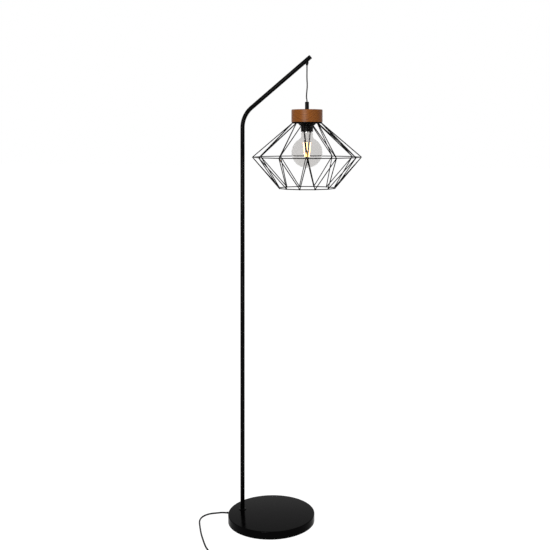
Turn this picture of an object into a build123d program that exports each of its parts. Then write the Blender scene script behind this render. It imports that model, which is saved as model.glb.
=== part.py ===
from build123d import *
import math
import os

# Wire cage floor lamp, in millimetres.
# The origin is the centre of the base's underside, on the floor. +Z is up, and +X points from
# the pole towards the shade, so the pole, the arm and the pendant cord all lie in the XZ plane.

# Base
base_diameter = 268.0
base_height = 24.0
cover_wall = 1.2
cover_edge_radius = 2.5
cover_rim_height = 1.0
pad_thickness = 2.0
pad_clearance = 0.5
stem_clearance = 0.2
boss_margin = 1.0
channel_width = 12.8
channel_height = 9.4
channel_length = 20.0
weight_clearance = 0.4
weight_plate_thickness = 7.0
weight_rim_width = 14.0
weight_edge_radius = 1.6

# Pole and arm
pole_inset = 39.0
tube_diameter = 13.5
tube_wall = 1.0
lower_tube_length = 352.6
middle_tube_length = 377.4
arm_corner_rise = 125.6
arm_bend_radius = 80.0
arm_slope = 38.93
arm_reach = 221.7

# Threaded fittings that join the tubes
stud_diameter = 10.0
stud_bore = 7.0
stud_grip_length = 14.0
stud_thread_length = 12.0
insert_length = 12.0
fit_clearance = 0.05
foot_collar_diameter = 23.0
foot_collar_thickness = 2.2
foot_collar_chamfer = 0.7
stem_washer_diameter = 24.0
stem_washer_thickness = 1.5
stem_nut_across_flats = 14.0
stem_nut_thickness = 4.0
stem_tail = 1.0

# Arm end
cap_flange_thickness = 1.2
cap_plug_length = 7.0
cap_plug_wall = 1.5
cap_plug_floor = 1.0
cap_edge_radius = 0.5
grommet_inset = 11.7
grommet_drop = 16.83
grommet_tip_diameter = 5.6
grommet_top_diameter = 10.0
grommet_taper_length = 6.5
grommet_neck_diameter = 7.2
grommet_lip_diameter = 9.2
grommet_lip_thickness = 1.0
grommet_relief_diameter = 5.8
grommet_relief_rise = 0.4

# Pendant cord and its pivot in the grommet's mouth
pendant_cord_diameter = 4.0
pendant_drop = 112.4
cord_clearance = 0.1
pivot_gap = 0.3
cable_turn_radius = 4.0
cable_foot_radius = 6.0

# Cord grip, wooden cap and lamp holder
grip_diameter = 12.3
grip_foot_diameter = 14.4
grip_foot_height = 0.9
grip_foot_taper = 1.8
grip_length = 23.6
grip_edge_radius = 0.8
grip_thread_depth = 13.0
grip_screw_diameter = 3.0
grip_screw_height = 17.5
grip_slot_width = 0.6
grip_slot_depth = 0.8
nipple_end_gap = 0.3
nipple_tail = 7.0
wood_diameter = 96.0
wood_height = 38.5
wood_edge_radius = 2.5
wood_foot_chamfer = 0.6
wood_recess_diameter = 52.0
wood_roof = 8.0
locknut_across_flats = 14.0
locknut_thickness = 3.5
holder_cap_diameter = 44.0
holder_cap_neck_diameter = 18.0
holder_cap_neck_length = 6.0
holder_cap_wall = 2.0
holder_cap_side = 13.0
skirt_diameter = 38.5
skirt_wall = 1.6
skirt_drop = 28.6
skirt_rise = 8.5
skirt_mouth_radius = 0.7
shade_ring_diameter = 58.0
shade_ring_foot_diameter = 44.0
shade_ring_height = 9.5
shade_ring_rim = 2.2
shade_ring_bevel = 1.5
insert_setback = 3.0
insert_clearance = 0.2
insert_bore_depth = 26.0
insert_floor = 6.0
screw_shell_wall = 0.4
screw_shell_length = 21.0
screw_shell_clearance = 0.1
contact_leaf_width = 5.0
contact_leaf_thickness = 0.6
contact_leaf_gap = 1.0
contact_button_diameter = 6.0
contact_rivet_diameter = 3.0

# Wire cage
plate_diameter = 95.0
plate_thickness = 1.5
plate_hole_clearance = 0.3
cage_wire_diameter = 3.0
cage_sides = 12
cage_turn = 16.4
cage_top_radius = 46.0
cage_mid_radius = 167.5
cage_mid_drop = 106.5
cage_foot_radius = 87.5
cage_foot_drop = 201.5

# Bulb
globe_diameter = 95.0
bulb_length = 110.0
bulb_gap = 1.0
glass_wall = 1.0
neck_diameter = 36.5
neck_blend_radius = 12.0
neck_shoulder_radius = 5.0
bulb_cap_diameter = 26.4
bulb_cap_wall = 0.4
bulb_cap_length = 23.0
bulb_cap_overlap = 2.0
bulb_cap_crown_height = 2.5
bulb_cap_crown_inset = 3.0
insulator_height = 3.0
insulator_taper = 30.0
bulb_contact_diameter = 10.0
bulb_contact_height = 1.4
bulb_contact_edge_radius = 0.9
stem_flare_diameter = 24.0
stem_flare_edge = 1.0
stem_flare_height = 9.0
stem_pinch_taper = 6.0
stem_tube_diameter = 12.0
stem_length = 34.0
stem_rod_diameter = 3.0
stem_rod_length = 38.0
filament_count = 4
filament_diameter = 2.2
filament_top_drop = 31.4
filament_foot_drop = 75.4
filament_top_spread = 11.0
filament_foot_spread = 6.0
support_wire_diameter = 0.8
support_gap = 0.3
support_rise = 12.0
support_foot_rise = 2.0
support_foot_slope = 1.0

# Mains cord, switch and plug
mains_cord_diameter = 5.0
cord_exit_height = 6.5
cord_lie_height = 2.6
bushing_diameter = 7.4
bushing_tip_diameter = 6.0
bushing_tail = 13.0
bushing_tongue = 8.0
bushing_flange_diameter = 8.8
bushing_flange_thickness = 1.6
bushing_flange_gap = 0.3
switch_length = 60.0
switch_width = 28.0
switch_height = 15.0
switch_split_height = 7.0
switch_wall = 1.8
switch_edge_radius = 3.0
switch_foot_chamfer = 0.8
switch_cord_depth = 3.0
switch_x = -41.0
switch_y = -270.0
switch_core_length = 24.0
switch_core_height = 3.4
switch_core_side_gap = 3.0
switch_core_edge_radius = 1.0
button_diameter = 15.0
button_rise = 2.5
button_flange_diameter = 18.0
button_flange_thickness = 1.5
button_clearance = 0.3
button_edge_radius = 1.0
coil_mean_diameter = 60.0
coil_band_width = 25.0
coil_height = 9.4
coil_edge_radius = 4.0
coil_x = 60.0
coil_y = -253.0
plug_length = 36.0
plug_width = 13.7
plug_depth = 24.0
plug_nose_length = 9.0
plug_edge_radius = 2.5
plug_chamfer = 1.0
plug_tail_wall = 1.0
plug_cord_depth = 4.0
plug_x = 128.0
plug_y = -211.0
pin_diameter = 4.0
pin_length = 19.0
pin_spacing = 18.6
pin_root = 8.0
pin_tip_radius = 1.2

# Cord anchor and terminal block under the base plate
anchor_offset = 49.0
anchor_side = 18.0
anchor_width = 8.0
anchor_span = 24.0
anchor_strap_thickness = 1.6
anchor_screw_diameter = 3.0
anchor_screw_spacing = 17.0
anchor_screw_head_diameter = 5.5
anchor_screw_head_height = 1.6
anchor_screw_length = 7.0
terminal_front = 40.0
terminal_length = 20.0
terminal_width = 17.0
terminal_height = 12.0
terminal_edge_radius = 1.5


def direction(angle):
    # Unit vector in the XY plane at an angle in degrees.
    return Vector(math.cos(math.radians(angle)), math.sin(math.radians(angle)), 0)


def route_radii(points):
    # Each bend takes 0.45 of the shorter run beside it.
    radii = []
    for before, corner, after in zip(points, points[1:], points[2:]):
        arriving = Vector(corner) - Vector(before)
        leaving = Vector(after) - Vector(corner)
        half_turn = math.radians(arriving.get_angle(leaving) / 2)
        radii.append(0.45 * min(arriving.length, leaving.length) / math.tan(half_turn))
    return radii


def round_cord(points, radii, diameter):
    # Plain round tube of straight runs joined by tangent arcs.
    heading = Vector(points[1]) - Vector(points[0])
    with BuildPart() as cord:
        with BuildLine() as route:
            FilletPolyline(*points, radius=radii)
        with BuildSketch(Plane(origin=points[0], z_dir=heading)):
            Circle(diameter / 2)
        sweep()
    length = sum(edge.length for edge in route.edges())
    expected = length * math.pi * diameter ** 2 / 4
    print("cord length", round(length, 1), "volume", round(cord.part.volume), "of", round(expected))
    print("  radii", [round(radius, 1) for radius in radii])
    return cord.part


# Levels and radii worked out from the driving sizes
pole_x = pole_inset - base_diameter / 2
pole_foot = Plane((pole_x, 0, 0))
weight_top = base_height - cover_wall
weight_underside = weight_top - weight_plate_thickness
weight_radius = base_diameter / 2 - cover_wall - weight_clearance
stem_hole_diameter = stud_diameter + 2 * stem_clearance
tube_bore = tube_diameter - 2 * tube_wall
insert_diameter = tube_bore - 2 * fit_clearance
insert_bore = stud_diameter + 2 * fit_clearance
pole_start = base_height + foot_collar_thickness
anchor_seat = cord_exit_height + mains_cord_diameter / 2 + cord_clearance
seam_heights = [
    pole_start + lower_tube_length,
    pole_start + lower_tube_length + middle_tube_length,
    pole_start + lower_tube_length + 2 * middle_tube_length,
]

# Base

with BuildPart() as base_cover:
    # Pressed steel shell, open below, with a rolled top edge.
    with BuildSketch(Plane.XY.offset(cover_rim_height)):
        Circle(base_diameter / 2)
    extrude(amount=base_height - cover_rim_height)
    fillet(base_cover.faces().sort_by(Axis.Z)[-1].edges(), radius=cover_edge_radius)
    offset(amount=-cover_wall, openings=base_cover.faces().sort_by(Axis.Z)[0])
    with BuildSketch(pole_foot.offset(base_height)):
        Circle(stem_hole_diameter / 2)
    extrude(amount=-2 * cover_wall, mode=Mode.SUBTRACT)
    with BuildSketch(Plane.YZ.offset(-base_diameter / 2)):
        with Locations((0, cord_exit_height)):
            Circle(bushing_diameter / 2 + fit_clearance)
    extrude(amount=bushing_tongue, mode=Mode.SUBTRACT)
base_cover.part.label = "base_cover"

with BuildPart() as base_weight:
    # Cast plate with a deep rim, a boss for the cord anchor and a channel for the cord.
    with BuildSketch(Plane.XY.offset(pad_thickness)):
        Circle(weight_radius)
    extrude(amount=weight_top - pad_thickness)
    fillet(base_weight.faces().sort_by(Axis.Z)[-1].edges(), radius=weight_edge_radius)
    with BuildSketch(Plane.XY.offset(pad_thickness)):
        Circle(weight_radius - weight_rim_width)
    extrude(amount=weight_underside - pad_thickness, mode=Mode.SUBTRACT)
    with BuildSketch(Plane.XY.offset(anchor_seat)):
        with Locations((-anchor_offset, anchor_side)):
            Rectangle(anchor_width + 2 * boss_margin, anchor_span)
    extrude(until=Until.NEXT)
    with BuildSketch(pole_foot.offset(weight_top)):
        Circle(stem_hole_diameter / 2)
    extrude(amount=-weight_plate_thickness, mode=Mode.SUBTRACT)
    with BuildSketch(Plane.YZ.offset(-base_diameter / 2)):
        with Locations((0, cord_exit_height)):
            SlotOverall(channel_width, channel_height)
    extrude(amount=channel_length, mode=Mode.SUBTRACT)
    with BuildSketch(Plane.XY.offset(anchor_seat)):
        with Locations((-anchor_offset, anchor_side)):
            with GridLocations(0, anchor_screw_spacing, 1, 2):
                Circle(anchor_screw_diameter / 2 + fit_clearance)
    extrude(amount=anchor_screw_length, mode=Mode.SUBTRACT)
base_weight.part.label = "base_weight"

with BuildPart() as base_pad:
    # Dense foam disc that the lamp rests on.
    with BuildSketch():
        Circle(base_diameter / 2 - cover_wall - pad_clearance)
    extrude(amount=pad_thickness)
base_pad.part.label = "base_pad"

stem_nut_top = weight_underside - stem_washer_thickness
stem_nut_foot = stem_nut_top - stem_nut_thickness

with BuildPart() as stem_washer:
    with BuildSketch(pole_foot.offset(stem_nut_top)):
        Circle(stem_washer_diameter / 2)
        Circle(stem_hole_diameter / 2, mode=Mode.SUBTRACT)
    extrude(amount=stem_washer_thickness)
stem_washer.part.label = "stem_washer"

with BuildPart() as stem_nut:
    with BuildSketch(pole_foot.offset(stem_nut_foot)):
        RegularPolygon(stem_nut_across_flats / 2, 6, major_radius=False)
        Circle(stud_diameter / 2 + fit_clearance, mode=Mode.SUBTRACT)
    extrude(amount=stem_nut_thickness)
stem_nut.part.label = "stem_nut"

with BuildPart() as foot_collar:
    # Thin washer between the pole and the base, its top edge chamfered.
    with BuildSketch(pole_foot.offset(base_height)):
        Circle(foot_collar_diameter / 2)
    extrude(amount=foot_collar_thickness)
    chamfer(foot_collar.faces().sort_by(Axis.Z)[-1].edges(), length=foot_collar_chamfer)
    with BuildSketch(pole_foot.offset(base_height)):
        Circle(stem_hole_diameter / 2)
    extrude(amount=foot_collar_thickness, mode=Mode.SUBTRACT)
foot_collar.part.label = "foot_collar"

with BuildPart() as stem_nipple:
    # Hollow threaded rod that clamps the pole to the base and lets the cable through.
    with BuildSketch(pole_foot.offset(stem_nut_foot - stem_tail)):
        Circle(stud_diameter / 2)
        Circle(stud_bore / 2, mode=Mode.SUBTRACT)
    extrude(amount=pole_start + stud_thread_length - stem_nut_foot + stem_tail)
stem_nipple.part.label = "stem_nipple"

bushing_tip_x = -base_diameter / 2 - bushing_tail
bushing_radius = bushing_diameter / 2
flange_radius = bushing_flange_diameter / 2
flange_start_x = -base_diameter / 2 + cover_wall + bushing_flange_gap
flange_end_x = flange_start_x + bushing_flange_thickness
tongue_end_x = -base_diameter / 2 + bushing_tongue

with BuildPart() as cable_bushing:
    # Tapered strain relief, its flange inside the cover.
    with BuildSketch(Plane.XZ):
        with BuildLine():
            Polyline(
                (bushing_tip_x, cord_exit_height),
                (bushing_tip_x, cord_exit_height + bushing_tip_diameter / 2),
                (-base_diameter / 2, cord_exit_height + bushing_radius),
                (flange_start_x, cord_exit_height + bushing_radius),
                (flange_start_x, cord_exit_height + flange_radius),
                (flange_end_x, cord_exit_height + flange_radius),
                (flange_end_x, cord_exit_height + bushing_radius),
                (tongue_end_x, cord_exit_height + bushing_radius),
                (tongue_end_x, cord_exit_height),
                close=True,
            )
        make_face()
    revolve(axis=Axis((0, 0, cord_exit_height), (1, 0, 0)))
    with BuildSketch(Plane.YZ.offset(bushing_tip_x)):
        with Locations((0, cord_exit_height)):
            Circle(mains_cord_diameter / 2 + fit_clearance)
    extrude(amount=tongue_end_x - bushing_tip_x, mode=Mode.SUBTRACT)
cable_bushing.part.label = "cable_bushing"

arch_radius = mains_cord_diameter / 2 + cord_clearance

with BuildPart() as cord_anchor:
    # Saddle clamp that holds the mains cord up against the boss of the base weight.
    with BuildSketch(Plane.YZ.offset(-anchor_offset - anchor_width / 2)):
        with Locations((anchor_side, anchor_seat - anchor_strap_thickness / 2)):
            Rectangle(anchor_span, anchor_strap_thickness)
        with Locations((anchor_side, cord_exit_height)):
            Circle(arch_radius + anchor_strap_thickness)
        with Locations((anchor_side, cord_exit_height)):
            Circle(arch_radius, mode=Mode.SUBTRACT)
        with Locations((anchor_side, anchor_seat + anchor_span / 2)):
            Rectangle(anchor_span, anchor_span, mode=Mode.SUBTRACT)
        with Locations((anchor_side, (cord_exit_height + anchor_seat) / 2)):
            Rectangle(2 * arch_radius, anchor_seat - cord_exit_height, mode=Mode.SUBTRACT)
    extrude(amount=anchor_width)
    with BuildSketch(Plane.XY.offset(anchor_seat - anchor_strap_thickness)):
        with Locations((-anchor_offset, anchor_side)):
            with GridLocations(0, anchor_screw_spacing, 1, 2):
                Circle(anchor_screw_diameter / 2 + fit_clearance)
    extrude(amount=anchor_strap_thickness, mode=Mode.SUBTRACT)
cord_anchor.part.label = "cord_anchor"

with BuildPart() as anchor_screws:
    with BuildSketch(Plane.XY.offset(anchor_seat - anchor_strap_thickness - anchor_screw_head_height)):
        with Locations((-anchor_offset, anchor_side)):
            with GridLocations(0, anchor_screw_spacing, 1, 2):
                Circle(anchor_screw_head_diameter / 2)
    extrude(amount=anchor_screw_head_height)
    with BuildSketch(Plane.XY.offset(anchor_seat - anchor_strap_thickness)):
        with Locations((-anchor_offset, anchor_side)):
            with GridLocations(0, anchor_screw_spacing, 1, 2):
                Circle(anchor_screw_diameter / 2)
    extrude(amount=anchor_screw_length)
anchor_screws.part.label = "anchor_screws"

with BuildPart() as terminal_block:
    # Two-way block under the plate, the mains cord in at one end and the inner cable out at the other.
    with BuildSketch(Plane.XY.offset(weight_underside - terminal_height)):
        with Locations((-terminal_front + terminal_length / 2, anchor_side)):
            Rectangle(terminal_length, terminal_width)
    extrude(amount=terminal_height)
    fillet(terminal_block.edges().filter_by(Axis.Z), radius=terminal_edge_radius)
terminal_block.part.label = "terminal_block"

# Pole and arm

tube_starts = [pole_start, *seam_heights[:2]]
tube_ends = seam_heights
straight_tubes = []
for tube_name, tube_start, tube_end in zip(
    ["lower_tube", "middle_tube_1", "middle_tube_2"], tube_starts, tube_ends
):
    with BuildPart() as straight_tube:
        with BuildSketch(pole_foot.offset(tube_start)):
            Circle(tube_diameter / 2)
            Circle(tube_bore / 2, mode=Mode.SUBTRACT)
        extrude(amount=tube_end - tube_start)
    straight_tube.part.label = tube_name
    straight_tubes.append(straight_tube.part)

arm_corner_height = seam_heights[2] + arm_corner_rise
arm_rise = math.tan(math.radians(arm_slope))
arm_direction = Vector(math.cos(math.radians(arm_slope)), 0, math.sin(math.radians(arm_slope)))
arm_corner = Vector(pole_x, 0, arm_corner_height)
arm_end = arm_corner + Vector(arm_reach, 0, arm_reach * arm_rise)
arm_tube_end = arm_end - arm_direction * cap_flange_thickness
grommet_offset = arm_reach - grommet_inset
pendant_x = pole_x + grommet_offset
arm_over_pendant = arm_corner_height + grommet_offset * arm_rise
grommet_tip_height = arm_over_pendant - grommet_drop
pendant_foot = Plane((pendant_x, 0, 0))
pendant_axis = Axis((pendant_x, 0, 0), (0, 0, 1))
pendant_section = Plane(origin=(pendant_x, 0, 0), x_dir=(1, 0, 0), z_dir=(0, -1, 0))
arm_section = Plane(origin=arm_corner, x_dir=(0, 1, 0), z_dir=arm_direction)

with BuildPart() as arm_tube:
    # One tube that rises straight, bends towards the shade and runs on to the plugged tip.
    with BuildLine():
        FilletPolyline(
            (pole_x, 0, seam_heights[2]), arm_corner, arm_tube_end, radius=arm_bend_radius
        )
    with BuildSketch(pole_foot.offset(seam_heights[2])):
        Circle(tube_diameter / 2)
        Circle(tube_bore / 2, mode=Mode.SUBTRACT)
    sweep()
    with BuildSketch(pendant_foot.offset(grommet_tip_height)):
        Circle(grommet_neck_diameter / 2 + cord_clearance)
    extrude(amount=arm_over_pendant - grommet_tip_height, mode=Mode.SUBTRACT)
arm_tube.part.label = "arm_tube"

with BuildPart() as tube_inserts:
    # Threaded sleeves pressed into the foot of each tube.
    for insert_foot in [pole_start, *seam_heights]:
        with BuildSketch(pole_foot.offset(insert_foot)):
            Circle(insert_diameter / 2)
            Circle(insert_bore / 2, mode=Mode.SUBTRACT)
        extrude(amount=insert_length)
tube_inserts.part.label = "tube_inserts"

joint_studs = []
for number, seam_height in enumerate(seam_heights, start=1):
    with BuildPart() as joint_stud:
        # Sleeve held in the tube below, with a hollow thread for the tube above.
        with BuildSketch(pole_foot.offset(seam_height - stud_grip_length)):
            Circle(insert_diameter / 2)
        extrude(amount=stud_grip_length)
        with BuildSketch(pole_foot.offset(seam_height)):
            Circle(stud_diameter / 2)
        extrude(amount=stud_thread_length)
        with BuildSketch(pole_foot.offset(seam_height - stud_grip_length)):
            Circle(stud_bore / 2)
        extrude(amount=stud_grip_length + stud_thread_length, mode=Mode.SUBTRACT)
    joint_stud.part.label = f"joint_stud_{number}"
    joint_studs.append(joint_stud.part)

arm_tip_section = Plane(origin=arm_tube_end, x_dir=(0, 1, 0), z_dir=arm_direction)

with BuildPart() as arm_end_cap:
    # Plastic plug with a flange as wide as the tube.
    with BuildSketch(arm_tip_section):
        Circle(tube_diameter / 2)
    extrude(amount=cap_flange_thickness)
    fillet(
        arm_end_cap.faces().sort_by(Axis(arm_tube_end, arm_direction))[-1].edges(),
        radius=cap_edge_radius,
    )
    with BuildSketch(arm_tip_section):
        Circle(insert_diameter / 2)
    extrude(amount=-cap_plug_length)
    with BuildSketch(arm_tip_section.offset(-cap_plug_length)):
        Circle(insert_diameter / 2 - cap_plug_wall)
    extrude(amount=cap_plug_length - cap_plug_floor, mode=Mode.SUBTRACT)
arm_end_cap.part.label = "arm_end_cap"

with BuildPart() as grommet_lip:
    # Snap lip that follows the inside of the arm tube.
    with BuildSketch(pendant_foot.offset(grommet_tip_height)):
        Circle(grommet_lip_diameter / 2)
    extrude(amount=arm_over_pendant - grommet_tip_height)
    with BuildSketch(arm_section):
        Circle(tube_bore / 2 - fit_clearance)
        Circle(tube_bore / 2 - fit_clearance - grommet_lip_thickness, mode=Mode.SUBTRACT)
    extrude(amount=grommet_offset + arm_reach, mode=Mode.INTERSECT)

with BuildPart() as grommet_neck:
    # Round neck through the wall of the arm, up to the inside of the tube.
    with BuildSketch(pendant_foot.offset(grommet_tip_height + grommet_taper_length / 2)):
        Circle(grommet_neck_diameter / 2)
    extrude(amount=arm_over_pendant - grommet_tip_height - grommet_taper_length / 2)
    with BuildSketch(arm_section):
        Circle(tube_bore / 2 - fit_clearance)
    extrude(amount=grommet_offset + arm_reach, mode=Mode.SUBTRACT)

relief_height = arm_over_pendant - tube_diameter / 2 / arm_direction.X + grommet_relief_rise

with BuildPart() as arm_grommet:
    # Tapered bush for the cord, its top cut to the round of the arm.
    with BuildSketch(pendant_section):
        with BuildLine():
            Polyline(
                (0, grommet_tip_height),
                (grommet_tip_diameter / 2, grommet_tip_height),
                (grommet_top_diameter / 2, grommet_tip_height + grommet_taper_length),
                (grommet_top_diameter / 2, arm_over_pendant),
                (0, arm_over_pendant),
                close=True,
            )
        make_face()
    revolve(axis=pendant_axis)
    with BuildSketch(arm_section):
        Circle(tube_diameter / 2 + fit_clearance)
    extrude(amount=grommet_offset + arm_reach, mode=Mode.SUBTRACT)
    add(grommet_neck.part)
    add(grommet_lip.part)
    with BuildSketch(pendant_foot.offset(grommet_tip_height)):
        Circle(pendant_cord_diameter / 2 + cord_clearance)
    extrude(amount=arm_over_pendant - grommet_tip_height, mode=Mode.SUBTRACT)
    with BuildSketch(pendant_foot.offset(relief_height)):
        Circle(grommet_relief_diameter / 2)
    extrude(amount=tube_diameter, mode=Mode.SUBTRACT)
arm_grommet.part.label = "arm_grommet"

# Cable inside the base, pole and arm

inner_cable_route = [
    (-terminal_front + terminal_length, anchor_side, cord_exit_height),
    (0, anchor_side, cord_exit_height),
    (21, 5, 4.5),
    (20, -20, 4.5),
    (-6, -36, 4.5),
    (-32, -34, 4.5),
    (-56, -22, 4.5),
    (-76, -8, 4.5),
    (pole_x, 0, 4.5),
    arm_corner,
    (pendant_x, 0, arm_over_pendant),
    (pendant_x, 0, grommet_tip_height),
]
inner_cable_radii = route_radii(inner_cable_route[:9])
inner_cable_radii += [cable_foot_radius, arm_bend_radius, cable_turn_radius]
inner_cable = round_cord(inner_cable_route, inner_cable_radii, pendant_cord_diameter)
inner_cable.label = "inner_cable"

pivot_height = grommet_tip_height - pivot_gap - pendant_cord_diameter / 2

with BuildPart() as cord_neck:
    # Short rounded length of cord in the grommet's mouth, about which the shade swings.
    with Locations((pendant_x, 0, pivot_height)):
        Sphere(pendant_cord_diameter / 2)
cord_neck.part.label = "cord_neck"

# Cord grip and wooden cap

grip_top = grommet_tip_height - pendant_drop
wood_top = grip_top - grip_length
recess_roof = wood_top - wood_roof
wood_foot = wood_top - wood_height
plate_height = wood_foot - plate_thickness
cord_start = pivot_height - pendant_cord_diameter / 2 - pivot_gap

skirt_foot = plate_height - skirt_drop
insert_foot = skirt_foot + insert_setback
insert_roof = insert_foot + insert_bore_depth
cord_end = insert_roof + insert_floor + pivot_gap

with BuildPart() as pendant_cord:
    with BuildSketch(pendant_foot.offset(cord_end)):
        Circle(pendant_cord_diameter / 2)
    extrude(amount=cord_start - cord_end)
pendant_cord.part.label = "pendant_cord"

with BuildPart() as cord_grip:
    # Slim grip with a wider foot, clamping the cord with a side screw.
    with BuildSketch(pendant_section):
        with BuildLine():
            Polyline(
                (0, wood_top),
                (grip_foot_diameter / 2, wood_top),
                (grip_foot_diameter / 2, wood_top + grip_foot_height),
                (grip_diameter / 2, wood_top + grip_foot_height + grip_foot_taper),
                (grip_diameter / 2, grip_top),
                (0, grip_top),
                close=True,
            )
        make_face()
    revolve(axis=pendant_axis)
    fillet(cord_grip.faces().sort_by(Axis.Z)[-1].edges(), radius=grip_edge_radius)
    with BuildSketch(pendant_foot.offset(wood_top)):
        Circle(pendant_cord_diameter / 2 + cord_clearance)
    extrude(amount=grip_length, mode=Mode.SUBTRACT)
    with BuildSketch(pendant_foot.offset(wood_top)):
        Circle(stud_diameter / 2 + fit_clearance)
    extrude(amount=grip_thread_depth, mode=Mode.SUBTRACT)
    with BuildSketch(Plane.XZ):
        with Locations((pendant_x, wood_top + grip_screw_height)):
            Circle(grip_screw_diameter / 2 + fit_clearance)
    extrude(amount=-grip_diameter, mode=Mode.SUBTRACT)
cord_grip.part.label = "cord_grip"

with BuildPart() as grip_screw:
    # Headless clamping screw with a slot, short of the cord by the cord's clearance.
    with BuildSketch(Plane.XZ.offset(-pendant_cord_diameter / 2 - cord_clearance)):
        with Locations((pendant_x, wood_top + grip_screw_height)):
            Circle(grip_screw_diameter / 2)
    extrude(amount=-(grip_diameter - pendant_cord_diameter) / 2)
    with BuildSketch(Plane.XZ.offset(-grip_diameter / 2)):
        with Locations((pendant_x, wood_top + grip_screw_height)):
            Rectangle(grip_slot_width, grip_screw_diameter)
    extrude(amount=grip_slot_depth, mode=Mode.SUBTRACT)
grip_screw.part.label = "grip_screw"

with BuildPart() as wood_cap:
    # Turned hardwood drum, hollow below for the top of the lamp holder.
    with BuildSketch(pendant_foot.offset(wood_foot)):
        Circle(wood_diameter / 2)
    extrude(amount=wood_height)
    fillet(wood_cap.faces().sort_by(Axis.Z)[-1].edges(), radius=wood_edge_radius)
    chamfer(wood_cap.faces().sort_by(Axis.Z)[0].edges(), length=wood_foot_chamfer)
    with BuildSketch(pendant_foot.offset(wood_foot)):
        Circle(wood_recess_diameter / 2)
    extrude(amount=wood_height - wood_roof, mode=Mode.SUBTRACT)
    with BuildSketch(pendant_foot.offset(recess_roof)):
        Circle(stem_hole_diameter / 2)
    extrude(amount=wood_roof, mode=Mode.SUBTRACT)
wood_cap.part.label = "wood_cap"

# Lamp holder

locknut_foot = recess_roof - locknut_thickness
holder_cap_top = locknut_foot
cap_shoulder_height = wood_foot + holder_cap_side
cap_neck_foot = holder_cap_top - holder_cap_neck_length
nipple_foot = holder_cap_top - nipple_tail

with BuildPart() as holder_nipple:
    # Hollow threaded rod through the grip, the wood, the locknut and the holder's cap.
    with BuildSketch(pendant_foot.offset(nipple_foot)):
        Circle(stud_diameter / 2)
        Circle(stud_bore / 2, mode=Mode.SUBTRACT)
    extrude(amount=wood_top + grip_thread_depth - nipple_end_gap - nipple_foot)
holder_nipple.part.label = "holder_nipple"

with BuildPart() as holder_locknut:
    with BuildSketch(pendant_foot.offset(locknut_foot)):
        RegularPolygon(locknut_across_flats / 2, 6, major_radius=False)
        Circle(stud_diameter / 2 + fit_clearance, mode=Mode.SUBTRACT)
    extrude(amount=locknut_thickness)
holder_locknut.part.label = "holder_locknut"

with BuildPart() as holder_cap:
    # Domed upper half of the lamp holder, hidden in the wood.
    with BuildSketch(pendant_section):
        with BuildLine():
            Polyline(
                (stud_diameter / 2 + fit_clearance, holder_cap_top),
                (holder_cap_neck_diameter / 2, holder_cap_top),
                (holder_cap_neck_diameter / 2, cap_neck_foot),
                (holder_cap_diameter / 2, cap_shoulder_height),
                (holder_cap_diameter / 2, wood_foot),
                (skirt_diameter / 2 + fit_clearance, wood_foot),
                (skirt_diameter / 2 + fit_clearance, cap_shoulder_height - holder_cap_wall),
                (holder_cap_neck_diameter / 2, cap_neck_foot - holder_cap_wall),
                (stud_diameter / 2 + fit_clearance, cap_neck_foot - holder_cap_wall),
                close=True,
            )
        make_face()
    revolve(axis=pendant_axis)
holder_cap.part.label = "holder_cap"

skirt_top = wood_foot + skirt_rise
skirt_bore = skirt_diameter - 2 * skirt_wall

with BuildPart() as holder_skirt:
    # Threaded lower sleeve that passes through the top plate, with a rounded mouth.
    with BuildSketch(pendant_foot.offset(skirt_foot)):
        Circle(skirt_diameter / 2)
    extrude(amount=skirt_top - skirt_foot)
    fillet(holder_skirt.faces().sort_by(Axis.Z)[0].edges(), radius=skirt_mouth_radius)
    with BuildSketch(pendant_foot.offset(skirt_foot)):
        Circle(skirt_bore / 2)
    extrude(amount=skirt_top - skirt_foot, mode=Mode.SUBTRACT)
holder_skirt.part.label = "holder_skirt"

shade_ring_foot = plate_height - shade_ring_height

with BuildPart() as shade_ring:
    # Tapered nut that clamps the cage's plate against the holder's cap.
    with BuildSketch(pendant_section):
        with BuildLine():
            Polyline(
                (skirt_diameter / 2 + fit_clearance, plate_height),
                (shade_ring_diameter / 2, plate_height),
                (shade_ring_diameter / 2, plate_height - shade_ring_rim),
                (shade_ring_foot_diameter / 2 + shade_ring_bevel, shade_ring_foot + shade_ring_bevel),
                (shade_ring_foot_diameter / 2, shade_ring_foot),
                (skirt_diameter / 2 + fit_clearance, shade_ring_foot),
                close=True,
            )
        make_face()
    revolve(axis=pendant_axis)
shade_ring.part.label = "shade_ring"

insert_radius = skirt_bore / 2 - insert_clearance
screw_shell_inner = bulb_cap_diameter / 2 + screw_shell_clearance
screw_shell_outer = screw_shell_inner + screw_shell_wall

with BuildPart() as holder_insert:
    # Ceramic cup that carries the screw shell and the centre contact.
    with BuildSketch(pendant_foot.offset(insert_foot)):
        Circle(insert_radius)
        Circle(screw_shell_outer + fit_clearance, mode=Mode.SUBTRACT)
    extrude(amount=insert_bore_depth)
    with BuildSketch(pendant_foot.offset(insert_roof)):
        Circle(insert_radius)
        Circle(contact_rivet_diameter / 2 + fit_clearance, mode=Mode.SUBTRACT)
    extrude(amount=insert_floor)
holder_insert.part.label = "holder_insert"

with BuildPart() as screw_shell:
    with BuildSketch(pendant_foot.offset(insert_foot)):
        Circle(screw_shell_outer)
        Circle(screw_shell_inner, mode=Mode.SUBTRACT)
    extrude(amount=screw_shell_length)
screw_shell.part.label = "screw_shell"

neck_top_height = skirt_foot - bulb_gap
bulb_cap_foot = neck_top_height + fit_clearance
bulb_cap_top = bulb_cap_foot + bulb_cap_length - bulb_cap_overlap
bulb_tip_height = bulb_cap_top + insulator_height + bulb_contact_height

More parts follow.
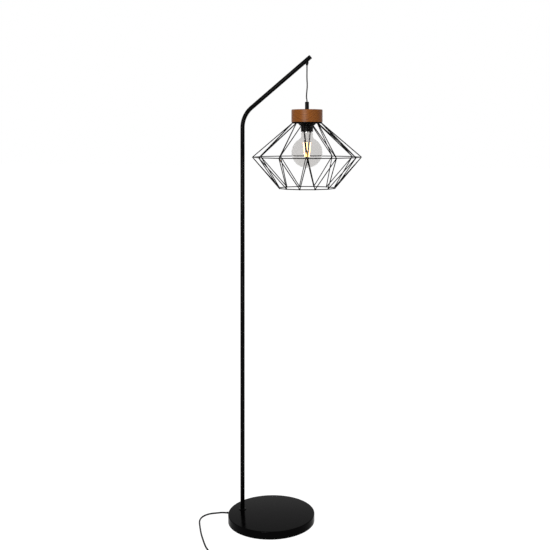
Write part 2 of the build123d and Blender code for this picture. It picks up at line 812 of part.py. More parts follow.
with BuildPart() as centre_contact:
    # Sprung leaf riveted to the insert, its button just above the bulb's contact.
    with BuildSketch(pendant_foot.offset(insert_roof - contact_leaf_thickness)):
        Rectangle(2 * (screw_shell_inner - contact_leaf_gap), contact_leaf_width)
    extrude(amount=contact_leaf_thickness)
    with BuildSketch(pendant_foot.offset(insert_roof)):
        Circle(contact_rivet_diameter / 2)
    extrude(amount=insert_floor)
    with BuildSketch(pendant_foot.offset(bulb_tip_height + pivot_gap)):
        Circle(contact_button_diameter / 2)
    extrude(amount=insert_roof - contact_leaf_thickness - bulb_tip_height - pivot_gap)
centre_contact.part.label = "centre_contact"

# Wire cage

cage_step = 360 / cage_sides
wire_radius = cage_wire_diameter / 2
cage_top_height = plate_height - wire_radius
cage_mid_height = plate_height - cage_mid_drop
cage_foot_height = plate_height - cage_foot_drop

with BuildPart() as cage_top_plate:
    # Flat disc that the holder clamps, with the top ring of the cage welded under its edge.
    with BuildSketch(pendant_foot.offset(plate_height)):
        Circle(plate_diameter / 2)
        Circle(skirt_diameter / 2 + plate_hole_clearance, mode=Mode.SUBTRACT)
    extrude(amount=plate_thickness)
cage_top_plate.part.label = "cage_top_plate"


def cage_corner(radius, height, angle):
    # Corner of one of the cage's twelve-sided rings.
    return Vector(pendant_x, 0, height) + direction(angle) * radius


def mitre_plane(angle, side):
    # Upright plane through the cage's axis and a corner, its normal towards the given side.
    return Plane(origin=(pendant_x, 0, 0), z_dir=direction(angle + 90 * side))


def ring_rod(radius, height, angle):
    # One straight side of a ring, mitred at both corners.
    start = cage_corner(radius, height, angle)
    end = cage_corner(radius, height, angle + cage_step)
    along = (end - start).normalized()
    with BuildPart() as rod:
        with BuildSketch(Plane(origin=start - along * cage_wire_diameter, z_dir=along)):
            Circle(wire_radius)
        extrude(amount=(end - start).length + 2 * cage_wire_diameter)
        split(bisect_by=mitre_plane(angle, 1), keep=Keep.TOP)
        split(bisect_by=mitre_plane(angle + cage_step, -1), keep=Keep.TOP)
    return rod.part


def slanted_wire(angle, side, end_radius, end_height):
    # Wire from a corner of the middle ring to a corner of the top or the bottom ring.
    # It is cut on the upright planes where two wires meet, and seated on both rings.
    start = cage_corner(cage_mid_radius, cage_mid_height, angle)
    end = cage_corner(end_radius, end_height, angle + side * cage_step / 2)
    upward = 1 if end_height > cage_mid_height else -1
    with BuildPart() as wire:
        with BuildSketch(Plane(origin=start, z_dir=end - start)):
            Circle(wire_radius)
        extrude(amount=(end - start).length)
        split(bisect_by=mitre_plane(angle, side), keep=Keep.TOP)
        split(bisect_by=mitre_plane(angle + side * cage_step / 2, -side), keep=Keep.TOP)
        split(bisect_by=Plane(origin=start, z_dir=(0, 0, upward)), keep=Keep.TOP)
        mid_angle = angle + min(side, 0) * cage_step
        add(ring_rod(cage_mid_radius, cage_mid_height, mid_angle), mode=Mode.SUBTRACT)
        add(ring_rod(end_radius, end_height, angle - cage_step / 2), mode=Mode.SUBTRACT)
    return wire.part


def cage_ring(radius, height, angle, label):
    rod = ring_rod(radius, height, angle)
    rods = [rod.rotate(pendant_axis, cage_step * number).solid() for number in range(cage_sides)]
    ring = Compound(rods)
    ring.label = label
    return ring


def cage_wires(end_radius, end_height, label):
    wires = []
    for side in (1, -1):
        wire = slanted_wire(cage_turn, side, end_radius, end_height)
        wires += [wire.rotate(pendant_axis, cage_step * number).solid() for number in range(cage_sides)]
    group = Compound(wires)
    group.label = label
    return group


cage_top_ring = cage_ring(cage_top_radius, cage_top_height, cage_turn + cage_step / 2, "cage_top_ring")
cage_mid_ring = cage_ring(cage_mid_radius, cage_mid_height, cage_turn, "cage_mid_ring")
cage_bottom_ring = cage_ring(
    cage_foot_radius, cage_foot_height, cage_turn + cage_step / 2, "cage_bottom_ring"
)
cage_upper_wires = cage_wires(cage_top_radius, cage_top_height, "cage_upper_wires")
cage_lower_wires = cage_wires(cage_foot_radius, cage_foot_height, "cage_lower_wires")

# Bulb

globe_centre_height = neck_top_height - bulb_length + globe_diameter / 2


def globe_profile(inset):
    # Globe and neck in half section, drawn in the pendant's upright plane.
    globe_radius = globe_diameter / 2 - inset
    neck_radius = neck_diameter / 2 - inset
    neck_top = neck_top_height - inset
    joint_height = globe_centre_height + math.sqrt(globe_radius ** 2 - neck_radius ** 2)
    with BuildSketch(pendant_section) as profile:
        with BuildLine():
            ThreePointArc(
                (0, globe_centre_height - globe_radius),
                (globe_radius, globe_centre_height),
                (neck_radius, joint_height),
            )
            Polyline(
                (neck_radius, joint_height),
                (neck_radius, neck_top),
                (0, neck_top),
                (0, globe_centre_height - globe_radius),
            )
        make_face()
        neck_corners = profile.vertices().filter_by(lambda corner: corner.X > 1)
        fillet(neck_corners.sort_by(Axis.Y)[-1], radius=neck_shoulder_radius)
        neck_corners = profile.vertices().filter_by(lambda corner: corner.X > 1)
        fillet(neck_corners.sort_by(Axis.Y)[0], radius=neck_blend_radius)
    return profile.sketch


with BuildPart() as bulb_glass:
    # Thin blown globe with a straight neck.
    add(globe_profile(0))
    revolve(axis=pendant_axis)
    add(globe_profile(glass_wall))
    revolve(axis=pendant_axis, mode=Mode.SUBTRACT)
    with BuildSketch(pendant_foot.offset(neck_top_height - 2 * glass_wall)):
        Circle(bulb_cap_diameter / 2 - 2 * bulb_cap_wall)
    extrude(amount=3 * glass_wall, mode=Mode.SUBTRACT)
bulb_glass.part.label = "bulb_glass"

crown_radius = bulb_cap_diameter / 2 - bulb_cap_crown_inset
crown_foot = bulb_cap_top - bulb_cap_crown_height

with BuildPart() as bulb_cap:
    # Screw cap seated on the shoulder of the glass.
    with BuildSketch(pendant_section):
        with BuildLine():
            Polyline(
                (bulb_cap_diameter / 2 - bulb_cap_wall, bulb_cap_foot),
                (bulb_cap_diameter / 2, bulb_cap_foot),
                (bulb_cap_diameter / 2, crown_foot),
                (crown_radius, bulb_cap_top),
                (crown_radius - bulb_cap_wall, bulb_cap_top),
                (bulb_cap_diameter / 2 - bulb_cap_wall, crown_foot - bulb_cap_wall / 2),
                close=True,
            )
        make_face()
    revolve(axis=pendant_axis)
bulb_cap.part.label = "bulb_cap"

with BuildPart() as bulb_insulator:
    with BuildSketch(pendant_foot.offset(bulb_cap_top)):
        Circle(crown_radius)
    extrude(amount=insulator_height, taper=insulator_taper)
bulb_insulator.part.label = "bulb_insulator"

with BuildPart() as bulb_contact:
    with BuildSketch(pendant_foot.offset(bulb_cap_top + insulator_height)):
        Circle(bulb_contact_diameter / 2)
    extrude(amount=bulb_contact_height)
    fillet(bulb_contact.faces().sort_by(Axis.Z)[-1].edges(), radius=bulb_contact_edge_radius)
bulb_contact.part.label = "bulb_contact"

stem_top = neck_top_height - fit_clearance
stem_pinch_height = stem_top - stem_length

with BuildPart() as bulb_stem:
    # Flared glass stem in the neck, with a pinch and a rod that carries the filaments.
    with BuildSketch(pendant_section):
        with BuildLine():
            Polyline(
                (0, stem_top),
                (stem_flare_diameter / 2, stem_top),
                (stem_flare_diameter / 2, stem_top - stem_flare_edge),
                (stem_tube_diameter / 2, stem_top - stem_flare_height),
                (stem_tube_diameter / 2, stem_pinch_height + stem_pinch_taper),
                (stem_rod_diameter / 2, stem_pinch_height),
                (stem_rod_diameter / 2, stem_pinch_height - stem_rod_length),
                (0, stem_pinch_height - stem_rod_length),
                close=True,
            )
        make_face()
    revolve(axis=pendant_axis)
bulb_stem.part.label = "bulb_stem"


def leaning_rod(radius_top, height_top, radius_foot, height_foot, diameter, angle):
    # Round rod in an upright plane through the pendant's axis.
    top = Vector(pendant_x, 0, height_top) + direction(angle) * radius_top
    foot = Vector(pendant_x, 0, height_foot) + direction(angle) * radius_foot
    with BuildPart() as rod:
        with BuildSketch(Plane(origin=foot, z_dir=top - foot)):
            Circle(diameter / 2)
        extrude(amount=(top - foot).length)
    return rod.part


filament_top_height = neck_top_height - filament_top_drop
filament_foot_height = neck_top_height - filament_foot_drop
filament_angles = [cage_turn + 360 / filament_count * number for number in range(filament_count)]
bulb_filaments = Compound([
    leaning_rod(
        filament_top_spread,
        filament_top_height,
        filament_foot_spread,
        filament_foot_height,
        filament_diameter,
        angle,
    ).solid()
    for angle in filament_angles
])
bulb_filaments.label = "bulb_filaments"

filament_supports = Compound([
    leaning_rod(
        stem_tube_diameter / 2 + support_gap + support_wire_diameter / 2,
        filament_top_height + support_rise,
        filament_top_spread,
        filament_top_height + support_gap,
        support_wire_diameter,
        angle,
    ).solid()
    for angle in filament_angles
] + [
    leaning_rod(
        stem_rod_diameter / 2 + support_gap,
        filament_foot_height + support_foot_rise + support_foot_slope,
        filament_foot_spread - filament_diameter / 2 - support_gap,
        filament_foot_height + support_foot_rise,
        support_wire_diameter,
        angle,
    ).solid()
    for angle in filament_angles
])
filament_supports.label = "filament_supports"

# Mains cord, switch and plug

switch_entry = switch_x - switch_length / 2 + switch_wall + switch_cord_depth
switch_exit = switch_x + switch_length / 2 - switch_wall - switch_cord_depth
plug_axis_height = plug_width / 2

mains_route = [
    (-terminal_front, anchor_side, cord_exit_height),
    (-64, anchor_side, cord_exit_height),
    (-90, 11, cord_exit_height),
    (-114, 0, cord_exit_height),
    (-164, 0, cord_exit_height),
    (-190, -7, cord_lie_height),
    (-210, -30, cord_lie_height),
    (-213, -64, cord_lie_height),
    (-196, -104, cord_lie_height),
    (-172, -152, cord_lie_height),
    (-146, -196, cord_lie_height),
    (-122, -234, cord_lie_height),
    (-99, -258, cord_lie_height + 1.6),
    (-77, switch_y, switch_split_height),
    (switch_entry, switch_y, switch_split_height),
]
mains_cord = round_cord(mains_route, route_radii(mains_route), mains_cord_diameter)
mains_cord.label = "mains_cord"

coil_outer_radius = (coil_mean_diameter + coil_band_width) / 2
coil_entry_y = coil_y - coil_outer_radius + mains_cord_diameter / 2
coil_exit_x = coil_x + coil_outer_radius - 0.75 * mains_cord_diameter
switch_route = [
    (switch_exit, switch_y, switch_split_height),
    (0, switch_y, switch_split_height),
    (16, -279, 5.0),
    (32, coil_entry_y, cord_lie_height),
    (47, coil_entry_y, cord_lie_height),
]
switch_cord = round_cord(switch_route, route_radii(switch_route), mains_cord_diameter)
switch_cord.label = "switch_cord"

with BuildPart() as cord_coil:
    # Hank of the spare cord, as one ring of its outer shape.
    with BuildSketch(Plane((coil_x, coil_y, 0))):
        Circle(coil_outer_radius)
        Circle(coil_outer_radius - coil_band_width, mode=Mode.SUBTRACT)
    extrude(amount=coil_height)
    fillet(cord_coil.edges().filter_by(GeomType.CIRCLE), radius=coil_edge_radius)
cord_coil.part.label = "cord_coil"

plug_route = [
    (coil_exit_x, -244, plug_axis_height),
    (coil_exit_x, -233, plug_axis_height),
    (106, -219, 5.6),
    (119, plug_y, plug_axis_height),
    (plug_x + plug_cord_depth, plug_y, plug_axis_height),
]
plug_cord = round_cord(plug_route, route_radii(plug_route), mains_cord_diameter)
plug_cord.label = "plug_cord"

switch_floor = Plane((switch_x, switch_y, 0))

with BuildPart() as switch_bottom:
    # Lower shell of the foot switch, with half holes for the cord.
    with BuildSketch(switch_floor):
        SlotOverall(switch_length, switch_width)
    extrude(amount=switch_split_height)
    chamfer(switch_bottom.faces().sort_by(Axis.Z)[0].edges(), length=switch_foot_chamfer)
    with BuildSketch(switch_floor.offset(switch_wall)):
        SlotOverall(switch_length - 2 * switch_wall, switch_width - 2 * switch_wall)
    extrude(amount=switch_split_height - switch_wall, mode=Mode.SUBTRACT)
    with BuildSketch(Plane.YZ.offset(switch_x - switch_length / 2)):
        with Locations((switch_y, switch_split_height)):
            Circle(mains_cord_diameter / 2 + cord_clearance)
    extrude(amount=switch_length, mode=Mode.SUBTRACT)
switch_bottom.part.label = "switch_bottom"

with BuildPart() as switch_core:
    # Contact block under the button.
    with BuildSketch(switch_floor.offset(switch_wall)):
        Rectangle(switch_core_length, switch_width - 2 * switch_wall - 2 * switch_core_side_gap)
    extrude(amount=switch_core_height - switch_wall)
    fillet(switch_core.edges().filter_by(Axis.Z), radius=switch_core_edge_radius)
switch_core.part.label = "switch_core"

button_hole_radius = button_diameter / 2 + button_clearance

with BuildPart() as switch_top:
    # Upper shell with rounded edges and a round opening for the button.
    with BuildSketch(switch_floor.offset(switch_split_height)):
        SlotOverall(switch_length, switch_width)
    extrude(amount=switch_height - switch_split_height)
    fillet(switch_top.faces().sort_by(Axis.Z)[-1].edges(), radius=switch_edge_radius)
    with BuildSketch(switch_floor.offset(switch_split_height)):
        SlotOverall(switch_length - 2 * switch_wall, switch_width - 2 * switch_wall)
    extrude(amount=switch_height - switch_split_height - switch_wall, mode=Mode.SUBTRACT)
    with BuildSketch(switch_floor.offset(switch_split_height)):
        Circle(button_hole_radius)
    extrude(amount=switch_height, mode=Mode.SUBTRACT)
    with BuildSketch(Plane.YZ.offset(switch_x - switch_length / 2)):
        with Locations((switch_y, switch_split_height)):
            Circle(mains_cord_diameter / 2 + cord_clearance)
    extrude(amount=switch_length, mode=Mode.SUBTRACT)
switch_top.part.label = "switch_top"

button_flange_top = switch_height - switch_wall - button_clearance

with BuildPart() as switch_button:
    # Push button kept in by its flange.
    with BuildSketch(switch_floor.offset(button_flange_top - button_flange_thickness)):
        Circle(button_flange_diameter / 2)
    extrude(amount=button_flange_thickness)
    with BuildSketch(switch_floor.offset(button_flange_top)):
        Circle(button_diameter / 2)
    extrude(amount=switch_height + button_rise - button_flange_top)
    fillet(switch_button.faces().sort_by(Axis.Z)[-1].edges(), radius=button_edge_radius)
switch_button.part.label = "switch_button"

plug_tail_half = mains_cord_diameter / 2 + plug_tail_wall

with BuildPart() as plug_body:
    # Flat two-pin plug, tapering to the cord.
    with BuildSketch():
        with BuildLine():
            Polyline(
                (plug_x, plug_y - plug_tail_half),
                (plug_x + plug_nose_length, plug_y - plug_depth / 2),
                (plug_x + plug_length, plug_y - plug_depth / 2),
                (plug_x + plug_length, plug_y + plug_depth / 2),
                (plug_x + plug_nose_length, plug_y + plug_depth / 2),
                (plug_x, plug_y + plug_tail_half),
                close=True,
            )
        make_face()
    extrude(amount=plug_width)
    fillet(plug_body.edges().filter_by(Axis.Z), radius=plug_edge_radius)
    chamfer(plug_body.faces().filter_by(Axis.Z).edges(), length=plug_chamfer)
    with BuildSketch(Plane.YZ.offset(plug_x)):
        with Locations((plug_y, plug_axis_height)):
            Circle(mains_cord_diameter / 2 + fit_clearance)
    extrude(amount=plug_cord_depth, mode=Mode.SUBTRACT)
    with BuildSketch(Plane.YZ.offset(plug_x + plug_length - pin_root)):
        with Locations((plug_y, plug_axis_height)):
            with GridLocations(pin_spacing, 0, 2, 1):
                Circle(pin_diameter / 2 + fit_clearance)
    extrude(amount=pin_root, mode=Mode.SUBTRACT)
plug_body.part.label = "plug_body"

with BuildPart() as plug_pins:
    with BuildSketch(Plane.YZ.offset(plug_x + plug_length - pin_root)):
        with Locations((plug_y, plug_axis_height)):
            with GridLocations(pin_spacing, 0, 2, 1):
                Circle(pin_diameter / 2)
    extrude(amount=pin_root + pin_length)
    fillet(plug_pins.faces().sort_by(Axis.X)[-2:].edges(), radius=pin_tip_radius)
plug_pins.part.label = "plug_pins"

# Files

pieces = [
    base_cover.part, base_weight.part, base_pad.part, stem_washer.part, stem_nut.part,
    foot_collar.part, stem_nipple.part, cable_bushing.part, cord_anchor.part,
    anchor_screws.part, terminal_block.part, *straight_tubes, arm_tube.part,
    tube_inserts.part, *joint_studs, arm_end_cap.part, arm_grommet.part, inner_cable,
    cord_neck.part, pendant_cord.part, cord_grip.part, grip_screw.part, wood_cap.part,
    holder_nipple.part, holder_locknut.part, holder_cap.part, holder_skirt.part,
    shade_ring.part, holder_insert.part, screw_shell.part, centre_contact.part,
    cage_top_plate.part, cage_top_ring, cage_mid_ring, cage_bottom_ring, cage_upper_wires,
    cage_lower_wires, bulb_glass.part, bulb_cap.part, bulb_insulator.part,
    bulb_contact.part, bulb_stem.part, bulb_filaments, filament_supports, mains_cord,
    switch_cord, cord_coil.part, plug_cord, switch_bottom.part, switch_core.part,
    switch_top.part, switch_button.part, plug_body.part, plug_pins.part,
]

os.makedirs("parts", exist_ok=True)
for piece in pieces:
    export_step(piece, f"parts/{piece.label}.step")
print("nodes", len(pieces))
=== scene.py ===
import math
import bpy
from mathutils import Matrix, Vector


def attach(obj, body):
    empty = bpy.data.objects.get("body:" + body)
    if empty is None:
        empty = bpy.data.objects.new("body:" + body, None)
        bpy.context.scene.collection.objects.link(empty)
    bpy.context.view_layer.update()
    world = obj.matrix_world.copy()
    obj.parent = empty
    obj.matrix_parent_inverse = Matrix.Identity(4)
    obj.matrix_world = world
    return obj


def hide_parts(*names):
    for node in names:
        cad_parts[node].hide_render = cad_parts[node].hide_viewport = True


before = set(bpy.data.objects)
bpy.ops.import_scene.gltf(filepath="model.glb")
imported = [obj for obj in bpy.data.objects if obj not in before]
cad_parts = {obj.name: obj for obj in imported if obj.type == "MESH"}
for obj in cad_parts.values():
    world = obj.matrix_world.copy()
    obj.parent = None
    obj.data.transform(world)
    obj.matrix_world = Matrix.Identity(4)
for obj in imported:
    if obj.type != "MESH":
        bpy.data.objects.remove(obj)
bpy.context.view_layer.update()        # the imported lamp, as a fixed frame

# All lengths are metres, in the lamp's own frame: the base is centred on the origin.
pendantX = 0.115        # upright axis of the pendant cord, shade and bulb
poleX = -0.095          # upright axis of the pole
mergeGap = 0.000002     # points closer than this become one

# Camera: level, at the photograph's place and framing
view = {
    "place": (0.838, -2.6005, 1.1945), "turn": 15.6, "shift": (-0.0564, -0.2527),
    "lens": 57.47, "sensor": 36, "near": 0.05,
}
cameraData = bpy.data.cameras.new("camera")
cameraData.sensor_width = view["sensor"]
cameraData.lens = view["lens"]
cameraData.shift_x, cameraData.shift_y = view["shift"]
cameraData.clip_start = view["near"]
camera = bpy.data.objects.new("camera", cameraData)
camera.location = view["place"]
camera.rotation_euler = (math.radians(90), 0, math.radians(view["turn"]))
bpy.context.scene.collection.objects.link(camera)
bpy.context.scene.camera = camera
bpy.context.scene.view_settings.view_transform = "Standard"
print("camera placed")


def newMaterial(name):
    material = bpy.data.materials.new(name)
    material.use_nodes = True
    nodes = material.node_tree.nodes
    return material, nodes, material.node_tree.links, nodes["Principled BSDF"]


def setInputs(node, values):
    for name, value in values.items():
        node.inputs[name].default_value = value


def noiseNode(nodes, links, place, scale, detail=3.0, roughness=0.5):
    noise = nodes.new("ShaderNodeTexNoise")
    setInputs(noise, {"Scale": scale, "Detail": detail, "Roughness": roughness})
    links.new(place, noise.inputs["Vector"])
    return noise


def rampNode(nodes, links, source, stops):
    # Stops are (position, colour) pairs.
    ramp = nodes.new("ShaderNodeValToRGB")
    while len(ramp.color_ramp.elements) < len(stops):
        ramp.color_ramp.elements.new(0.5)
    for element, (position, colour) in zip(ramp.color_ramp.elements, stops):
        element.position = position
        element.color = (*colour, 1)
    links.new(source, ramp.inputs["Fac"])
    return ramp


def noiseStops(low, high):
    # Noise stays mostly near its middle, so the two tones meet there.
    return [(0.35, low), (0.65, high)]


def rangeNode(nodes, links, source, low, high):
    spread = nodes.new("ShaderNodeMapRange")
    setInputs(spread, {"From Min": 0.3, "From Max": 0.7, "To Min": low, "To Max": high})
    links.new(source, spread.inputs["Value"])
    return spread


def bumpNode(nodes, links, source, strength, distance):
    bump = nodes.new("ShaderNodeBump")
    setInputs(bump, {"Strength": strength, "Distance": distance})
    links.new(source, bump.inputs["Height"])
    return bump


def mathNode(nodes, links, operation, *values):
    # Each value is a number or another node's output.
    step = nodes.new("ShaderNodeMath")
    step.operation = operation
    for socket, value in zip(step.inputs, values):
        if isinstance(value, (int, float)):
            socket.default_value = value
        else:
            links.new(value, socket)
    return step.outputs["Value"]


# What a look has where it says nothing else
plainLook = {
    "metallic": 0, "specular": 0.4, "wearScale": 60, "grainDepth": 0.2, "grainHeight": 0.0002,
}
looks = {
    "black_paint": {
        "dark": (0.0009, 0.0008, 0.0009), "light": (0.0015, 0.0013, 0.0014), "toneScale": 9,
        "roughness": (0.24, 0.29), "grainScale": 1400, "grainDepth": 0.012, "specular": 0.032,
    },
    "coverPaint": {
        "dark": (0.0013, 0.0011, 0.0013), "light": (0.002, 0.0017, 0.0019), "toneScale": 9,
        "roughness": (0.12, 0.17), "grainScale": 900, "grainDepth": 0.02, "specular": 0.016,
    },
    "iron": {
        "dark": (0.05, 0.048, 0.046), "light": (0.11, 0.105, 0.1), "toneScale": 40,
        "roughness": (0.6, 0.8), "grainScale": 500, "grainDepth": 0.5, "metallic": 0.6,
    },
    "foam": {
        "dark": (0.02, 0.02, 0.021), "light": (0.045, 0.045, 0.047), "toneScale": 300,
        "roughness": (0.85, 0.95), "grainScale": 900, "grainDepth": 0.8, "specular": 0.2,
    },
    "zinc_steel": {
        "dark": (0.48, 0.48, 0.47), "light": (0.62, 0.62, 0.6), "toneScale": 150,
        "roughness": (0.25, 0.42), "grainScale": 1800, "metallic": 1,
    },
    "brass": {
        "dark": (0.6, 0.42, 0.17), "light": (0.78, 0.58, 0.27), "toneScale": 150,
        "roughness": (0.22, 0.4), "grainScale": 1500, "metallic": 1,
    },
    "bulb_metal": {
        "dark": (0.55, 0.55, 0.54), "light": (0.7, 0.7, 0.69), "toneScale": 120,
        "roughness": (0.2, 0.35), "grainScale": 1500, "metallic": 1,
    },
    "black_plastic": {
        "dark": (0.0015, 0.0015, 0.0016), "light": (0.0026, 0.0026, 0.0028), "toneScale": 60,
        "roughness": (0.34, 0.46), "grainScale": 2200, "grainDepth": 0.1, "specular": 0.05,
    },
    "black_bakelite": {
        "dark": (0.001, 0.001, 0.001), "light": (0.002, 0.0019, 0.0018), "toneScale": 80,
        "roughness": (0.26, 0.36), "grainScale": 2600, "grainDepth": 0.06, "specular": 0.05,
    },
    "white_plastic": {
        "dark": (0.66, 0.65, 0.62), "light": (0.76, 0.75, 0.72), "toneScale": 90,
        "roughness": (0.4, 0.55), "grainScale": 1800, "grainDepth": 0.15,
    },
    "cord_black": {
        "dark": (0.003, 0.003, 0.0032), "light": (0.006, 0.006, 0.0063), "toneScale": 120,
        "roughness": (0.5, 0.62), "grainScale": 1600, "grainDepth": 0.2, "specular": 0.15,
    },
}


def finishMaterial(name, look):
    # Tone, gloss and fine grain each follow their own noise on the piece.
    look = {**plainLook, **look}
    material, nodes, links, shader = newMaterial(name)
    place = nodes.new("ShaderNodeTexCoord").outputs["Object"]
    tone = noiseNode(nodes, links, place, look["toneScale"], detail=4)
    stops = noiseStops(look["dark"], look["light"])
    ramp = rampNode(nodes, links, tone.outputs["Fac"], stops)
    links.new(ramp.outputs["Color"], shader.inputs["Base Color"])
    wear = noiseNode(nodes, links, place, look["wearScale"], detail=5)
    gloss = rangeNode(nodes, links, wear.outputs["Fac"], *look["roughness"])
    links.new(gloss.outputs["Result"], shader.inputs["Roughness"])
    grain = noiseNode(nodes, links, place, look["grainScale"], detail=2)
    bump = bumpNode(nodes, links, grain.outputs["Fac"], look["grainDepth"], look["grainHeight"])
    links.new(bump.outputs["Normal"], shader.inputs["Normal"])
    setInputs(shader, {"Metallic": look["metallic"], "Specular IOR Level": look["specular"]})
    return material


walnut = {
    "centre": (pendantX, 0.021, 1.205), "ringScale": 34,
    "wobble": 3.0, "wobbleDetail": 2.0, "wobbleScale": 0.35,
    "ringTones": [(0.0, (0.2, 0.06, 0.007)), (0.6, (0.235, 0.074, 0.009)),
                  (1.0, (0.172, 0.05, 0.0056))],
    "poreScale": (40, 700, 700), "poreTones": [(0.33, (0.6, 0.53, 0.5)), (0.5, (1, 1, 1))],
    "cloudScale": 26, "cloudTones": [(0.3, (0.86, 0.84, 0.82)), (0.7, (1.12, 1.1, 1.08))],
    "blend": 0.7, "poreDepth": 0.12, "poreHeight": 0.0003,
    "roughness": (0.44, 0.38), "specular": 0.16,
}


def walnutMaterial():
    # Growth rings run along the cap's diameter, with long dark pores and an oiled surface.
    material, nodes, links, shader = newMaterial("walnut")
    place = nodes.new("ShaderNodeTexCoord").outputs["Object"]
    shift = nodes.new("ShaderNodeMapping")
    setInputs(shift, {"Location": [-part for part in walnut["centre"]]})
    links.new(place, shift.inputs["Vector"])
    rings = nodes.new("ShaderNodeTexWave")
    rings.wave_type = "RINGS"
    rings.rings_direction = "X"
    setInputs(rings, {"Scale": walnut["ringScale"], "Distortion": walnut["wobble"],
                      "Detail": walnut["wobbleDetail"], "Detail Scale": walnut["wobbleScale"]})
    links.new(shift.outputs["Vector"], rings.inputs["Vector"])
    stretch = nodes.new("ShaderNodeMapping")
    setInputs(stretch, {"Scale": walnut["poreScale"]})
    links.new(shift.outputs["Vector"], stretch.inputs["Vector"])
    pores = noiseNode(nodes, links, stretch.outputs["Vector"], 1.0, detail=4, roughness=0.6)
    cloud = noiseNode(nodes, links, shift.outputs["Vector"], walnut["cloudScale"])
    ringTone = rampNode(nodes, links, rings.outputs["Fac"], walnut["ringTones"])
    poreTone = rampNode(nodes, links, pores.outputs["Fac"], walnut["poreTones"])
    cloudTone = rampNode(nodes, links, cloud.outputs["Fac"], walnut["cloudTones"])
    colour = ringTone.outputs["Color"]
    for tone in (poreTone, cloudTone):
        mix = nodes.new("ShaderNodeMix")
        mix.data_type = "RGBA"
        mix.blend_type = "MULTIPLY"
        setInputs(mix, {"Factor": walnut["blend"]})
        links.new(colour, mix.inputs["A"])
        links.new(tone.outputs["Color"], mix.inputs["B"])
        colour = mix.outputs["Result"]
    links.new(colour, shader.inputs["Base Color"])
    gloss = rangeNode(nodes, links, pores.outputs["Fac"], *walnut["roughness"])
    links.new(gloss.outputs["Result"], shader.inputs["Roughness"])
    bump = bumpNode(nodes, links, pores.outputs["Fac"], walnut["poreDepth"], walnut["poreHeight"])
    links.new(bump.outputs["Normal"], shader.inputs["Normal"])
    setInputs(shader, {"Specular IOR Level": walnut["specular"]})
    return material


braid = {
    "strands": 8, "rise": 0.024,     # how far a strand climbs in one turn
    "dark": (0.004, 0.004, 0.004), "light": (0.022, 0.022, 0.023),
    "depth": 0.6, "height": 0.0002, "roughness": 0.8, "specular": 0.2,
}


def braidMaterial():
    # Woven sleeve: two sets of strands wind round the upright cord in opposite directions.
    material, nodes, links, shader = newMaterial("cord_grey")
    place = nodes.new("ShaderNodeTexCoord").outputs["Object"]
    parts = nodes.new("ShaderNodeSeparateXYZ")
    links.new(place, parts.inputs["Vector"])

    def calculate(operation, *values):
        return mathNode(nodes, links, operation, *values)

    across = calculate("SUBTRACT", parts.outputs["X"], pendantX)
    angle = calculate("ARCTAN2", parts.outputs["Y"], across)
    turn = calculate("MULTIPLY", angle, braid["strands"])
    strandsPerMetre = braid["strands"] / braid["rise"]
    climb = calculate("MULTIPLY", parts.outputs["Z"], 2 * math.pi * strandsPerMetre)
    over = calculate("SINE", calculate("ADD", turn, climb))
    under = calculate("SINE", calculate("SUBTRACT", turn, climb))
    weave = calculate("MULTIPLY_ADD", calculate("MULTIPLY", over, under), 0.5, 0.5)
    tone = rampNode(nodes, links, weave, [(0.1, braid["dark"]), (0.8, braid["light"])])
    links.new(tone.outputs["Color"], shader.inputs["Base Color"])
    bump = bumpNode(nodes, links, weave, braid["depth"], braid["height"])
    links.new(bump.outputs["Normal"], shader.inputs["Normal"])
    setInputs(shader, {"Roughness": braid["roughness"], "Specular IOR Level": braid["specular"]})
    return material


# Haze is the share of the tint that is left where the glass is at its darkest.
glasses = {
    "clear_glass": {"tint": (0.775, 0.767, 0.758), "haze": 0.99, "hazeScale": 18, "ior": 1.08},
    "stemGlass": {"tint": (0.965, 0.96, 0.95), "haze": 0.99, "hazeScale": 40, "ior": 1.05},
}


def glassMaterial(name, glass):
    # Clear glass with a slight smoky tint that drifts over the piece.
    material, nodes, links, shader = newMaterial(name)
    place = nodes.new("ShaderNodeTexCoord").outputs["Object"]
    haze = noiseNode(nodes, links, place, glass["hazeScale"])
    darker = tuple(glass["haze"] * part for part in glass["tint"])
    ramp = rampNode(nodes, links, haze.outputs["Fac"], noiseStops(darker, glass["tint"]))
    links.new(ramp.outputs["Color"], shader.inputs["Base Color"])
    setInputs(shader, {"Roughness": 0, "IOR": glass["ior"], "Transmission Weight": 1})
    return material


glow = {
    "middle": (1.0, 0.56, 0.2), "edge": (1.0, 0.4, 0.1), "edgeFrom": 0.8, "blend": 0.4,
    "strength": (8.0, 10.0), "grainScale": 900, "unlit": (0.9, 0.55, 0.12), "roughness": 0.5,
}


def glowMaterial():
    # Lit filament: bright yellow at its middle, orange towards its edges.
    material, nodes, links, shader = newMaterial("glow")
    place = nodes.new("ShaderNodeTexCoord").outputs["Object"]
    grain = noiseNode(nodes, links, place, glow["grainScale"], detail=2)
    facing = nodes.new("ShaderNodeLayerWeight")
    setInputs(facing, {"Blend": glow["blend"]})
    stops = [(0.0, glow["middle"]), (glow["edgeFrom"], glow["edge"])]
    tone = rampNode(nodes, links, facing.outputs["Facing"], stops)
    links.new(tone.outputs["Color"], shader.inputs["Emission Color"])
    strength = rangeNode(nodes, links, grain.outputs["Fac"], *glow["strength"])
    links.new(strength.outputs["Result"], shader.inputs["Emission Strength"])
    setInputs(shader, {"Base Color": (*glow["unlit"], 1), "Roughness": glow["roughness"]})
    return material


